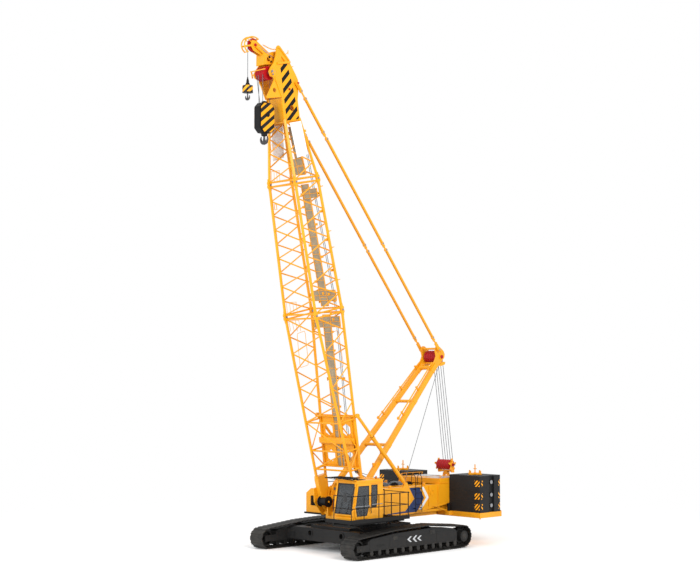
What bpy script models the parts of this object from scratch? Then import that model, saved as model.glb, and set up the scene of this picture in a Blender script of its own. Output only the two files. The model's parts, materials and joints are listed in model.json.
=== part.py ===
"""Lattice-boom crawler crane on two tracks, with its boom held up by a mast and pendants.

Metres, +Z up, ground at z = 0. The crane faces -Y and its left side, with the cab, is at +X.
Sizes are measured from the slewing axis; the empty "crawler_crane" then moves everything so
that the origin lies under the middle of the crane's overall box.
"""
import math

import bmesh
import bpy
from mathutils import Matrix, Vector

# ---------------------------------------------------------------- driving dimensions
SLEW_AXIS_Y = 0.652          # slewing axis, behind the origin

TRACK_GAUGE = 6.400          # between the middles of the two tracks
SHOE_WIDTH = 0.900
TRACK_THICKNESS = 0.130      # chain and shoe together
SHOE_COUNT = 58
GROUSER_DEPTH = 0.045
IDLER_Y, IDLER_RADIUS = -3.670, 0.520          # radii are of the track's outer face
SPROCKET_Y, SPROCKET_RADIUS = 3.640, 0.550
SPROCKET_LIFT = 0.030
LAST_ROLLER_Y, LAST_ROLLER_RADIUS = 3.100, 0.300
CARRIERS = ((-1.300, 1.260), (1.300, 1.340))   # y and height of the top run over each carrier
CARRIER_CURVE = 0.360
ROLLER_COUNT, ROLLER_RADIUS = 12, 0.140
WHEEL_SIDES = 28

SIDE_FRAME_WIDTH = 0.800
BEAM_Y, BEAM_LENGTH = 2.150, 0.600             # cross beams of the carbody
BEAM_LOW, BEAM_HIGH = 0.460, 1.080
BEAM_END = 0.900                               # beam tops under the overhang of the track shoes
HUB_HALF = 1.350
RING_RADIUS = 1.220
DECK_LOW = 1.450                               # underside of the revolving upper

FRAME_HALF = 1.480                             # outer faces of the revolving frame
SIDE_PLATE = 0.050
FRAME_HIGH = 3.000
FRAME_REAR = 6.500

BOOM_FOOT_Y, BOOM_FOOT_Z = -1.300, 2.300
BOOM_ANGLE = 78.0
JOINT_1, JOINT_2, HEAD_START = 9.500, 15.970, 18.950   # distances along the boom
FOOT_HALF_WIDTH, FOOT_HALF_DEPTH = 1.290, 0.220
J1_HALF_WIDTH, J1_HALF_DEPTH = 1.080, 0.890
J2_HALF_WIDTH, J2_HALF_DEPTH = 0.926, 0.747
HEAD_HALF_WIDTH, HEAD_HALF_DEPTH = 0.560, 0.480
CHORD_RADIUS, LACING_RADIUS = 0.070, 0.036
BATTEN_INSET = 0.100                           # end battens stand this far inside their section
BUTT_START = 1.250
BUTT_BATTENS = (1.750, 2.700, 4.150)
REAR_OPENING_OUT, REAR_OPENING_RADIUS = 0.620, 0.300
HEAD_AXLE = (21.230, 0.810)                    # along the boom, towards its front
PENDANT_PIN = (20.580, -0.600)
JIB_AXLE = (22.610, 1.260)
HEAD_SHEAVE_RADIUS, JIB_SHEAVE_RADIUS = 0.330, 0.320
GUARD_REACH, GUARD_HEIGHT, GUARD_BAND, GUARD_RISE = 0.544, 0.430, 0.050, 0.105   # oval rope guard round the jib's sheave
HEAD_SHAFT, JIB_SHAFT, ROPE_SHAFT, BLOCK_SHAFT = 0.070, 0.040, 0.060, 0.050
BOOM_PIN, MAST_PIN, PENDANT_PIN_RADIUS, BACKSTOP_PIN, LUFF_PIN = 0.090, 0.070, 0.050, 0.035, 0.050
DRUM_SHAFT = 0.080

MAST_FOOT_Y, MAST_FOOT_Z = -1.000, 2.930
MAST_ANGLE = 45.85
MAST_LENGTH = 9.200                            # to the rope wheels
MAST_LEG = MAST_LENGTH - 0.650                 # to the end of the legs
MAST_FOOT_HALF, MAST_HEAD_HALF = 1.000, 0.480
MAST_PENDANT_PIN_Y, MAST_PENDANT_PIN_Z = 5.120, 9.900
MAST_SHEAVE_RADIUS = 0.330
PENDANT_HALF = 0.640

BACKSTOP_HALF = 1.420
BACKSTOP_FOOT_Y, BACKSTOP_FOOT_Z = 1.700, 3.120
BACKSTOP_EYE_S = 4.300                         # along the boom
BACKSTOP_TUBE_LENGTH, BACKSTOP_ROD_LENGTH = 3.400, 3.900
BACKSTOP_TUBE_RADIUS, BACKSTOP_ROD_RADIUS = 0.100, 0.074

CAB_INNER, CAB_OUTER = 1.540, 2.860
CAB_FRONT, CAB_REAR = -3.450, -1.400
CAB_HIGH = 3.620
CAB_WALL = 0.060
DOOR_THICKNESS = 0.036
GLASS = 0.012
DOOR_TRAVEL = 0.850
PLATFORM_LOW, PLATFORM_HIGH = 1.660, 1.740
PLATFORM_OUTER = 3.220
PLATFORM_FRONT, PLATFORM_REAR = -3.900, 0.100
RAIL_HEIGHT = 1.200
RAIL_RADIUS = 0.022

HOUSE_INNER, HOUSE_OUTER = 1.500, 2.950        # machinery house, right side
HOUSE_FRONT, HOUSE_REAR = -1.000, 3.900
HOUSE_HIGH = 2.860
HOUSE_WALL = 0.050

TRAY_HALF, TRAY_LOW, TRAY_HIGH = 3.620, 1.360, 1.620
TRAY_FRONT, TRAY_REAR = 4.860, 6.560
SLAB_INNER, SLAB_OUTER = 1.500, 3.590
SLAB_FRONT, SLAB_REAR = 4.940, 6.540
SLAB_HEIGHTS = (0.570, 0.510, 0.770)

DRUM_Z = 2.750
DRUM_RADIUS, DRUM_FLANGE_RADIUS = 0.300, 0.430
DRUM_HALF = 0.620
DRUM_PLACES = {"main_winch_drum": 1.750, "auxiliary_winch_drum": 0.700, "luffing_winch_drum": 2.800}
GIRDER_INNER, GIRDER_OUTER = DRUM_HALF + 0.080, DRUM_HALF + 0.160

LUFF_PIN_Y, LUFF_PIN_Z = 6.380, 3.380
LUFF_AXLE_OFFSET = (-0.075, 0.470)             # from its pin to its sheaves, y and z

HOOK_AXLE_DROP = 1.970                         # from the head sheaves to the block's sheaves
AUXILIARY_DROP = 1.530

SEAT = 0.0003                                  # gap between pieces that touch
PIN_GAP = 0.0006                               # radial gap of a pin in its bore
RUNNING = 0.006                                # gap beside moving pieces

MODEL = "crawler_crane"


# ---------------------------------------------------------------- scene and materials
def clear_scene():
    for obj in list(bpy.data.objects):
        bpy.data.objects.remove(obj, do_unlink=True)


clear_scene()
parts = bpy.data.collections.new(MODEL)
bpy.context.scene.collection.children.link(parts)
origin = bpy.data.objects.new(MODEL, None)
origin.location = (0.0, SLEW_AXIS_Y, 0.0)
parts.objects.link(origin)


def material(name, red, green, blue, roughness, metallic=0.0):
    made = bpy.data.materials.new(name)
    made.use_nodes = True
    shader = made.node_tree.nodes["Principled BSDF"]
    shader.inputs["Base Color"].default_value = (red, green, blue, 1.0)
    shader.inputs["Roughness"].default_value = roughness
    shader.inputs["Metallic"].default_value = metallic
    made.diffuse_color = (red, green, blue, 1.0)
    return made


YELLOW = material("yellow_paint", 0.93, 0.44, 0.03, 0.40)
BLACK = material("black_paint", 0.03, 0.03, 0.03, 0.50)
IRON = material("dark_iron", 0.05, 0.05, 0.05, 0.60, 0.3)
RED = material("red_sheave", 0.42, 0.02, 0.03, 0.45)
STEEL = material("machined_steel", 0.45, 0.45, 0.46, 0.35, 1.0)
CONCRETE = material("ballast_iron", 0.06, 0.06, 0.06, 0.65)
PANE = material("tinted_glass", 0.08, 0.09, 0.10, 0.08)
TRIM = material("seat_cloth", 0.04, 0.04, 0.045, 0.90)


# ---------------------------------------------------------------- making solids
def add_object(mesh, name="piece"):
    obj = bpy.data.objects.new(name, mesh)
    parts.objects.link(obj)
    return obj


def from_bmesh(bm):
    bmesh.ops.recalc_face_normals(bm, faces=bm.faces)
    if bm.calc_volume(signed=True) < 0.0:
        bmesh.ops.reverse_faces(bm, faces=bm.faces)
    mesh = bpy.data.meshes.new("piece")
    bm.to_mesh(mesh)
    bm.free()
    return add_object(mesh)


def box(low, high):
    bm = bmesh.new()
    bmesh.ops.create_cube(bm, size=1.0)
    low, high = Vector(low), Vector(high)
    bmesh.ops.scale(bm, verts=bm.verts, vec=high - low)
    bmesh.ops.translate(bm, verts=bm.verts, vec=(low + high) / 2.0)
    return from_bmesh(bm)


def bar(start, end, radius, sides=6, end_radius=None, turn=0.0):
    """Round bar or cone between two points; radius is that of its corners."""
    start, end = Vector(start), Vector(end)
    bm = bmesh.new()
    end_radius = radius if end_radius is None else end_radius
    length = (end - start).length
    bmesh.ops.create_cone(bm, cap_ends=True, segments=sides, radius1=radius, radius2=end_radius, depth=length)
    aim = (end - start).to_track_quat("Z", "Y").to_matrix().to_4x4()
    matrix = Matrix.Translation((start + end) / 2.0) @ aim @ Matrix.Rotation(turn, 4, "Z")
    bmesh.ops.transform(bm, matrix=matrix, verts=bm.verts)
    return from_bmesh(bm)


def disc(y, z, radius, low_x, high_x, sides=16):
    """Round bar along X, with a corner of its outline at its front."""
    return bar((low_x, y, z), (high_x, y, z), radius, sides)


def plate(outlines, low, high, to_world):
    """Flat plate between two levels; later outlines are holes. to_world maps (a, b, level)."""
    curve = bpy.data.curves.new("outline", "CURVE")
    curve.dimensions = "2D"
    curve.fill_mode = "BOTH"
    curve.extrude = (high - low) / 2.0
    for outline in outlines:
        spline = curve.splines.new("POLY")
        spline.points.add(len(outline) - 1)
        for point, (a, b) in zip(spline.points, outline):
            point.co = (a, b, 0.0, 1.0)
        spline.use_cyclic_u = True
    flat = bpy.data.objects.new("outline", curve)
    parts.objects.link(flat)
    depsgraph = bpy.context.evaluated_depsgraph_get()
    mesh = bpy.data.meshes.new_from_object(flat.evaluated_get(depsgraph))
    bpy.data.objects.remove(flat, do_unlink=True)
    bpy.data.curves.remove(curve)
    bm = bmesh.new()
    bm.from_mesh(mesh)
    bpy.data.meshes.remove(mesh)
    bmesh.ops.remove_doubles(bm, verts=bm.verts, dist=0.00001)
    middle = (low + high) / 2.0
    for vertex in bm.verts:
        a, b, level = vertex.co
        vertex.co = to_world(a, b, level + middle)
    return from_bmesh(bm)


def side_plate(outline, low_x, high_x, holes=()):
    """Plate standing across X: its outline is in y and z."""
    return plate([outline, *holes], low_x, high_x, lambda a, b, level: (level, a, b))


def floor_plate(outline, low_z, high_z):
    """Plate lying flat: its outline is in x and y."""
    return plate([outline], low_z, high_z, lambda a, b, level: (a, b, level))


def round_outline(y, z, radius, sides=16, start=0.0):
    turns = (start + 2.0 * math.pi * k / sides for k in range(sides))
    return [(y + radius * math.cos(t), z + radius * math.sin(t)) for t in turns]


def combine(operation, base, others):
    """Boolean of one piece with several, applied; the others are used up."""
    group = bpy.data.collections.new("cutters")
    bpy.context.scene.collection.children.link(group)
    for other in others:
        group.objects.link(other)
    step = base.modifiers.new(operation.lower(), "BOOLEAN")
    step.operation = operation
    step.operand_type = "COLLECTION"
    step.collection = group
    step.solver = "EXACT"
    depsgraph = bpy.context.evaluated_depsgraph_get()
    mesh = bpy.data.meshes.new_from_object(base.evaluated_get(depsgraph))
    base.modifiers.clear()
    base.data = mesh
    for other in others:
        bpy.data.objects.remove(other, do_unlink=True)
    bpy.data.collections.remove(group)
    return base


def fuse(*pieces):
    return combine("UNION", pieces[0], pieces[1:])


def cut(base, *cutters):
    return combine("DIFFERENCE", base, cutters)


def finish(obj, name, finish_material, pivot=None):
    """Name and paint a finished piece; pivot puts its origin on its joint's axis."""
    obj.name = name
    obj.data.name = name
    obj.data.materials.clear()
    obj.data.materials.append(finish_material)
    if pivot is not None:
        obj.data.transform(Matrix.Translation(-Vector(pivot)))
        obj.location = pivot
    obj.parent = origin
    obj.data.shade_smooth()
    obj.data.set_sharp_from_angle(angle=math.radians(30.0))
    return obj


def mirrored(point):
    return (-point[0], point[1], point[2])


# ---------------------------------------------------------------- undercarriage
def hull(points):
    """Convex outline, counter-clockwise, of a set of points."""
    points = sorted(set(points))
    half = []
    for sweep in (points, points[::-1]):
        chain = []
        for p in sweep:
            while len(chain) > 1:
                (ay, az), (by, bz) = chain[-2], chain[-1]
                if (by - ay) * (p[1] - az) - (bz - az) * (p[0] - ay) > 1e-9:
                    break
                chain.pop()
            chain.append(p)
        half += chain[:-1]
    return half


def track_path(inset=0.0, sides=96, start=0.0):
    """Outline in y and z of a belt pulled round the track's wheels, inset from its outer face."""
    wheels = [
        (IDLER_Y, IDLER_RADIUS, IDLER_RADIUS),
        (SPROCKET_Y, SPROCKET_RADIUS + SPROCKET_LIFT, SPROCKET_RADIUS),
        (LAST_ROLLER_Y, LAST_ROLLER_RADIUS, LAST_ROLLER_RADIUS),
    ]
    wheels += [(y, top - CARRIER_CURVE, CARRIER_CURVE) for y, top in CARRIERS]
    reach = 1.0 if inset == 0.0 else 1.0 / math.cos(math.pi / sides)
    points = []
    for y, z, radius in wheels:
        points += round_outline(y, z, (radius - inset) * reach, sides, start)
    return hull(points)


def along_path(path, distance):
    """Point and inward normal at a distance along a closed counter-clockwise outline."""
    for (ay, az), (by, bz) in zip(path, path[1:] + path[:1]):
        step = math.hypot(by - ay, bz - az)
        if distance <= step:
            share = distance / step
            return (ay + (by - ay) * share, az + (bz - az) * share), (-(bz - az) / step, (by - ay) / step)
        distance -= step
    return path[0], (0.0, 1.0)


def track_top(y):
    """Height of the top run's outer face at a place along the track."""
    path = track_path()
    for (ay, az), (by, bz) in zip(path, path[1:] + path[:1]):
        if by < ay and by <= y <= ay:
            return az + (bz - az) * (ay - y) / (ay - by)
    raise ValueError("no top run there")


def track(side):
    """Endless track in one piece, its shoes standing out as grousers."""
    path = track_path()
    length = sum(math.dist(a, b) for a, b in zip(path, path[1:] + path[:1]))
    pitch = length / SHOE_COUNT
    outer = []
    for shoe in range(SHOE_COUNT):
        for share, depth in ((0.04, 0.0), (0.38, 0.0), (0.46, GROUSER_DEPTH), (0.96, GROUSER_DEPTH)):
            (y, z), (ny, nz) = along_path(path, (shoe + share) * pitch)
            outer.append((y + ny * depth, z + nz * depth))
    inner = track_path(TRACK_THICKNESS, WHEEL_SIDES, math.pi / WHEEL_SIDES)
    middle = side * TRACK_GAUGE / 2.0
    return side_plate(outer, middle - SHOE_WIDTH / 2.0, middle + SHOE_WIDTH / 2.0, [inner])


def track_frame(side):
    """Side frame that carries the track: a deep box with forks, rollers and carrier rollers."""
    middle = side * TRACK_GAUGE / 2.0
    half = SIDE_FRAME_WIDTH / 2.0
    low, front, rear = 0.380, -3.180, 3.100
    crown = [(y, track_top(y) - TRACK_THICKNESS - 0.050) for y in (rear - 0.2, 1.3, -1.3, front + 0.2)]
    web = side_plate([(front, low), (rear, low), (rear, 0.860), *crown, (front, 0.800)], middle - half, middle + half)
    pieces = []
    fork = 0.100
    for inward in (-1.0, 1.0):
        face = middle + inward * half
        span = sorted((face, face - inward * fork))
        pieces.append(box((span[0], IDLER_Y - 0.230, low), (span[1], front + 0.1, 0.680)))
    inner_face = middle - side * half
    span = sorted((inner_face, inner_face + side * 0.120))
    pieces.append(box((span[0], rear - 0.1, low), (span[1], SPROCKET_Y + 0.300, 0.820)))
    roller_z = TRACK_THICKNESS + ROLLER_RADIUS + SEAT
    for k in range(ROLLER_COUNT):
        y = front + 0.25 + (LAST_ROLLER_Y - 0.15 - front - 0.25) * k / (ROLLER_COUNT - 1)
        pieces.append(disc(y, roller_z, ROLLER_RADIUS, middle - 0.25, middle + 0.25, 12))
    for y, top in CARRIERS:
        radius = 0.110
        pieces.append(disc(y, top - TRACK_THICKNESS - radius - SEAT, radius, middle - 0.25, middle + 0.25, 12))
    return fuse(web, *pieces)


def idler(side):
    middle = side * TRACK_GAUGE / 2.0
    wheel = IDLER_RADIUS - TRACK_THICKNESS - SEAT
    reach = SIDE_FRAME_WIDTH / 2.0 - 0.100 - SEAT
    rim = disc(IDLER_Y, IDLER_RADIUS, wheel, middle - 0.240, middle + 0.240, WHEEL_SIDES)
    hub = disc(IDLER_Y, IDLER_RADIUS, 0.150, middle - reach, middle + reach, 16)
    hollows = [disc(IDLER_Y, IDLER_RADIUS, wheel - 0.070, *sorted((middle + s * 0.120, middle + s * 0.3)), 24)
               for s in (-1, 1)]
    return fuse(cut(rim, *hollows), hub)


def sprocket(side):
    middle = side * TRACK_GAUGE / 2.0
    z = SPROCKET_RADIUS + SPROCKET_LIFT
    tip = SPROCKET_RADIUS - TRACK_THICKNESS - SEAT
    teeth = 13
    outline = []
    for k in range(teeth):
        for share, radius in ((0.0, tip), (0.30, tip), (0.50, tip - 0.080), (0.80, tip - 0.080)):
            turn = 2.0 * math.pi * (k + share) / teeth
            outline.append((SPROCKET_Y + radius * math.cos(turn), z + radius * math.sin(turn)))
    wheel = side_plate(outline, middle - 0.150, middle + 0.150)
    inner_end = middle - side * (SIDE_FRAME_WIDTH / 2.0 - 0.120 - SEAT)
    outer_end = middle + side * (SIDE_FRAME_WIDTH / 2.0 + 0.020)
    drive = disc(SPROCKET_Y, z, 0.270, *sorted((inner_end, outer_end)), 20)
    return fuse(wheel, drive)


def carbody():
    """Centre box with the ring seat, and two cross beams that reach the side frames."""
    reach = TRACK_GAUGE / 2.0 - SIDE_FRAME_WIDTH / 2.0 - SEAT
    half = BEAM_LENGTH / 2.0
    hub = box((-HUB_HALF, -BEAM_Y, BEAM_LOW + 0.060), (HUB_HALF, BEAM_Y, BEAM_HIGH + 0.120))
    shoulder = TRACK_GAUGE / 2.0 - SHOE_WIDTH / 2.0 - 0.060
    section = [(-reach, BEAM_LOW), (reach, BEAM_LOW), (reach, BEAM_END), (shoulder, BEAM_END), (shoulder - 0.400, BEAM_HIGH),
               (0.400 - shoulder, BEAM_HIGH), (-shoulder, BEAM_END), (-reach, BEAM_END)]
    beams = [plate([section], y - half, y + half, lambda a, b, level: (a, level, b)) for y in (-BEAM_Y, BEAM_Y)]
    seat = disc_z(RING_RADIUS + 0.080, BEAM_HIGH, RING_LOW - SEAT, 32)
    body = fuse(hub, *beams, seat)
    pockets = [bar((x, y, 0.830), (x, y + s * 0.150, 0.830), 0.130, 12)
               for x in (-1.100, 1.100) for y, s in ((-BEAM_Y - half - 0.01, 1), (BEAM_Y + half + 0.01, -1))]
    return cut(body, *pockets)


def disc_z(radius, low_z, high_z, sides=24, x=0.0, y=0.0):
    return bar((x, y, low_z), (x, y, high_z), radius, sides)


RING_LOW = BEAM_HIGH + 0.200

for name, side in (("left", 1.0), ("right", -1.0)):
    finish(track(side), "track_" + name, IRON)
    finish(track_frame(side), "track_frame_" + name, IRON)
    finish(idler(side), "idler_" + name, IRON)
    finish(sprocket(side), "sprocket_" + name, IRON)
finish(carbody(), "carbody", IRON)
finish(disc_z(RING_RADIUS, RING_LOW, DECK_LOW - SEAT, 32), "slew_ring", STEEL)


# ---------------------------------------------------------------- places on the boom and the mast
TILT = math.radians(BOOM_ANGLE)
ALONG = Vector((0.0, -math.cos(TILT), math.sin(TILT)))
FRONT = Vector((0.0, -math.sin(TILT), -math.cos(TILT)))
BOOM_FOOT = Vector((0.0, BOOM_FOOT_Y, BOOM_FOOT_Z))


def on_boom(x, along, front):
    """Place x metres to the left, some way along the boom and in front of its centre line."""
    return BOOM_FOOT + Vector((x, 0.0, 0.0)) + ALONG * along + FRONT * front


LEAN = math.radians(MAST_ANGLE)
MAST_ALONG = Vector((0.0, math.cos(LEAN), math.sin(LEAN)))
MAST_FRONT = Vector((0.0, -math.sin(LEAN), math.cos(LEAN)))
MAST_FOOT = Vector((0.0, MAST_FOOT_Y, MAST_FOOT_Z))


def on_mast(x, along, front=0.0):
    return MAST_FOOT + Vector((x, 0.0, 0.0)) + MAST_ALONG * along + MAST_FRONT * front


def set_plate(where, outline, low_x, high_x, windows=(), bores=()):
    """Plate across X set out with on_boom or on_mast; bores lists pins as (along, front, radius, sides)."""
    def place(points):
        return [tuple(where(0.0, along, front))[1:] for along, front in points]
    holes = [place(window) for window in windows]
    for along, front, radius, sides in bores:
        centre = where(0.0, along, front)
        holes.append(bore_outline(centre.y, centre.z, radius, sides))
    return side_plate(place(outline), low_x, high_x, holes)


def boom_plate(outline, low_x, high_x, windows=(), bores=()):
    return set_plate(on_boom, outline, low_x, high_x, windows, bores)


def mast_plate(outline, low_x, high_x, windows=(), bores=()):
    return set_plate(on_mast, outline, low_x, high_x, windows, bores)


def bore_outline(y, z, radius, sides=16):
    """Hole whose flats face the corners of a pin of the same number of sides, clear of it at any angle."""
    return round_outline(y, z, (radius + PIN_GAP) / math.cos(math.pi / sides), sides, math.pi / sides)


# ---------------------------------------------------------------- revolving upper
def revolving_frame():
    """Deep side plates on a floor, with the nose that holds the boom, the mast and the winches."""
    nose = [(-1.300, 1.620), (-1.850, 2.280), (-1.900, 2.940), (-1.780, FRAME_HIGH), (4.900, FRAME_HIGH)]
    rear = [(4.900, 1.980), (2.200, 1.640)]
    boom_hole = bore_outline(BOOM_FOOT_Y, BOOM_FOOT_Z, BOOM_PIN)
    floor = box((-1.250, -1.250, DECK_LOW), (1.250, 4.200, 1.800))
    pieces = []
    for side in (-1.0, 1.0):
        outer = sorted((side * FRAME_HALF, side * (FRAME_HALF - SIDE_PLATE)))
        pieces.append(side_plate(nose + rear, *outer, [boom_hole]))
        flange = sorted((side * FRAME_HALF, side * 1.200))
        pieces.append(box((flange[0], -0.780, FRAME_HIGH - 0.060), (flange[1], 4.900, FRAME_HIGH)))
        web = sorted((side * 1.150, side * 1.100))
        inner = [(-1.250, 1.700), (-1.700, 2.200), (-1.700, 2.600), (-0.900, 2.600), (-0.600, 1.700)]
        pieces.append(side_plate(inner, *web, [boom_hole]))
        sill = sorted((side * (FRAME_HALF - 0.01), side * 1.050))
        pieces.append(box((sill[0], -1.200, 1.660), (sill[1], 4.150, 1.780)))
        girder = sorted((side * GIRDER_INNER, side * GIRDER_OUTER))
        stand = [(0.150, 1.700), (3.400, 1.700), (3.400, 2.300), (3.100, 3.020), (0.400, 3.020), (0.150, 2.700)]
        holes = [bore_outline(y, DRUM_Z, DRUM_SHAFT) for y in DRUM_PLACES.values()]
        pieces.append(side_plate(stand, *girder, holes))
        for middle in (side * 0.895, side * 1.105):
            foot = mast_foot_outline()
            pieces.append(side_plate(foot, middle - 0.025, middle + 0.025,
                                     [bore_outline(MAST_FOOT_Y, MAST_FOOT_Z, MAST_PIN)]))
        for middle in (side * (BACKSTOP_HALF - 0.045), side * (BACKSTOP_HALF + 0.045)):
            lug = [(1.480, FRAME_HIGH - 0.02), (1.920, FRAME_HIGH - 0.02), (1.780, 3.220), (1.620, 3.220)]
            hole = bore_outline(BACKSTOP_FOOT_Y, BACKSTOP_FOOT_Z, BACKSTOP_PIN, 12)
            pieces.append(side_plate(lug, middle - 0.012, middle + 0.012, [hole]))
        lug = [(6.180, 2.950), (6.480, 2.950), (6.470, 3.420), (6.400, 3.470), (6.300, 3.440)]
        clevis = sorted((side * 0.120, side * 0.160))
        pieces.append(side_plate(lug, *clevis, [bore_outline(LUFF_PIN_Y, LUFF_PIN_Z, LUFF_PIN, 12)]))
    pieces.append(box((-1.110, -1.240, 2.430), (1.110, -0.750, 2.600)))
    pieces.append(box((-1.250, 4.100, TRAY_HIGH + SEAT), (1.250, FRAME_REAR, 1.860)))
    pieces.append(box((-FRAME_HALF + 0.02, 4.100, 1.800), (FRAME_HALF - 0.02, 4.220, 2.960)))
    pieces.append(box((-1.250, 6.140, 1.800), (1.250, FRAME_REAR, FRAME_HIGH)))
    for side in (-1.0, 1.0):
        spine = sorted((side * 1.200, side * 1.260))
        pieces.append(box((spine[0], 4.150, 1.800), (spine[1], 6.200, 2.900)))
    return fuse(floor, *pieces)


def mast_foot_outline():
    return [(-1.240, 2.560), (-0.760, 2.560), (-0.880, 3.040), (-0.960, 3.080), (-1.060, 3.080), (-1.130, 3.020)]


def winch_drum(name, y):
    shell = disc(y, DRUM_Z, DRUM_RADIUS, -DRUM_HALF, DRUM_HALF, 20)
    flanges = [disc(y, DRUM_Z, DRUM_FLANGE_RADIUS, *sorted((s * DRUM_HALF, s * (DRUM_HALF - 0.040))), 20)
               for s in (-1.0, 1.0)]
    shaft = disc(y, DRUM_Z, DRUM_SHAFT, -GIRDER_OUTER - 0.050, GIRDER_OUTER + 0.050, 16)
    return fuse(shell, *flanges, shaft)


def rear_cover():
    """Hood over the tanks between the ballast stacks: a thin shell open below."""
    low, high = (-1.440, 4.240, FRAME_HIGH + SEAT), (1.440, 6.160, 3.270)
    wall = 0.040
    shell = box(low, high)
    hollow = box((low[0] + wall, low[1] + wall, low[2] - 0.1), (high[0] - wall, high[1] - wall, high[2] - wall))
    legs = []
    for side in (-1.0, 1.0):
        x = sorted((side * 1.400, side * 1.440))
        legs.append(box((x[0], 4.910, 1.880), (x[1], 6.160, 3.100)))
    return fuse(cut(shell, hollow), *legs)


def platform(side, outer, front, rear, low, high):
    x = sorted((side * (FRAME_HALF + SEAT), side * outer))
    return box((x[0], front, low), (x[1], rear, high))


def cab_platform():
    """Black walkway beside the cab, with its bearers and its railing."""
    deck = platform(1.0, PLATFORM_OUTER, PLATFORM_FRONT, PLATFORM_REAR, PLATFORM_LOW, PLATFORM_HIGH)
    pieces = [box((x - 0.080, PLATFORM_FRONT + 0.3, PLATFORM_LOW - 0.120), (x + 0.080, PLATFORM_REAR, PLATFORM_LOW + 0.02))
              for x in (1.700, 2.780)]
    edge = PLATFORM_OUTER - 0.040
    top = PLATFORM_HIGH + RAIL_HEIGHT
    front = PLATFORM_FRONT + 0.060
    rear = PLATFORM_REAR - 0.060
    posts = [front, -3.000, -2.000, -1.150, -0.550, rear]
    for y in posts:
        pieces.append(bar((edge, y, PLATFORM_HIGH - 0.02), (edge, y, top), RAIL_RADIUS, 6))
    for height in (top, PLATFORM_HIGH + RAIL_HEIGHT * 0.52):
        pieces.append(bar((edge, front - 0.018, height - 0.005), (edge, rear + 0.018, height - 0.005), RAIL_RADIUS, 6, turn=0.3))
        pieces.append(bar((2.000, front, height - 0.002), (edge + 0.018, front, height - 0.002), RAIL_RADIUS, 6, turn=0.2))
    pieces.append(bar((2.012, front, PLATFORM_HIGH - 0.02), (2.012, front, top + 0.01), RAIL_RADIUS, 6))
    return fuse(deck, *pieces)


def ladder():
    """Black ladder up the left side plate to the hood."""
    near, far = FRAME_HALF + SEAT, FRAME_HALF + 0.160
    pieces = []
    for y in (2.250, 2.700):
        pieces.append(box((far - 0.030, y - 0.012, 1.720), (far, y + 0.012, 3.250)))
        for z in (1.900, 2.860):
            pieces.append(box((near, y - 0.010, z - 0.020), (far - 0.01, y + 0.010, z + 0.020)))
    rungs = [bar((far - 0.015, 2.245, 1.820 + 0.280 * k), (far - 0.015, 2.705, 1.820 + 0.280 * k), 0.014, 6)
             for k in range(5)]
    return fuse(pieces[0], *pieces[1:], *rungs)


def machinery_house():
    """Engine housing on the right: sheet walls, a sloped shoulder, open underneath and at its grille."""
    outer_low = PLATFORM_LOW + SEAT
    front, rear = HOUSE_FRONT, HOUSE_REAR
    wall = HOUSE_WALL
    inner_x, outer_x = -HOUSE_INNER, -HOUSE_OUTER

    def shape(inset):
        low = outer_low if inset == 0.0 else outer_low - 0.1
        points = [(outer_x + inset, low), (inner_x - inset, low), (inner_x - inset, HOUSE_HIGH - inset),
                  (outer_x + 0.350 + inset * 0.4, HOUSE_HIGH - inset), (outer_x + inset, HOUSE_HIGH - 0.250 - inset * 0.4)]
        return plate([points], front + inset, rear - inset, lambda a, b, level: (a, level, b))

    grille = box((-2.600, front - 0.1, 2.000), (-1.850, front + wall + 0.1, 2.500))
    return cut(shape(0.0), shape(wall), grille)


finish(revolving_frame(), "revolving_frame", YELLOW)
for drum_name, drum_y in DRUM_PLACES.items():
    finish(winch_drum(drum_name, drum_y), drum_name, BLACK, (0.0, drum_y, DRUM_Z))
finish(rear_cover(), "rear_cover", YELLOW)
finish(cab_platform(), "cab_platform", BLACK)
finish(ladder(), "side_ladder", BLACK)
finish(platform(-1.0, HOUSE_OUTER + 0.050, HOUSE_FRONT - 0.100, HOUSE_REAR + 0.100, PLATFORM_LOW - 0.080, PLATFORM_LOW),
       "engine_platform", BLACK)
finish(machinery_house(), "machinery_house", YELLOW)
finish(box((-2.650, 0.200, PLATFORM_LOW + SEAT), (-1.750, 2.400, 2.620)), "engine", IRON)


# ---------------------------------------------------------------- cab
def cab_profile(inset):
    """Side outline of the cab in y and z, its front leaning back."""
    low, high = PLATFORM_HIGH + SEAT, CAB_HIGH
    return [(CAB_FRONT + 0.10 + inset, low + inset), (CAB_REAR - inset, low + inset), (CAB_REAR - inset, high - inset),
            (CAB_FRONT + 0.300 + inset, high - inset), (CAB_FRONT + inset, low + 0.250 + inset * 0.5)]


DOOR_OPENING = [(-3.200, 1.900), (-2.500, 1.900), (-2.360, 2.350), (-2.360, 3.400), (-3.100, 3.400), (-3.280, 2.350)]
DOOR_OUTLINE = [(-3.270, 1.830), (-2.470, 1.830), (-2.290, 2.330), (-2.290, 3.4695), (-3.150, 3.4695), (-3.360, 2.330)]
DOOR_WINDOW = [(-3.190, 1.960), (-2.540, 1.960), (-2.390, 2.380), (-2.390, 3.360), (-3.080, 3.360), (-3.270, 2.380)]
REAR_WINDOW = [(-2.180, 2.350), (-1.850, 2.350), (-1.780, 2.700), (-1.780, 3.380), (-2.180, 3.380)]
RIGHT_WINDOW = [(-3.150, 2.350), (-1.700, 2.350), (-1.700, 3.350), (-3.060, 3.350)]
SHUT_X = CAB_OUTER + RUNNING


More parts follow.
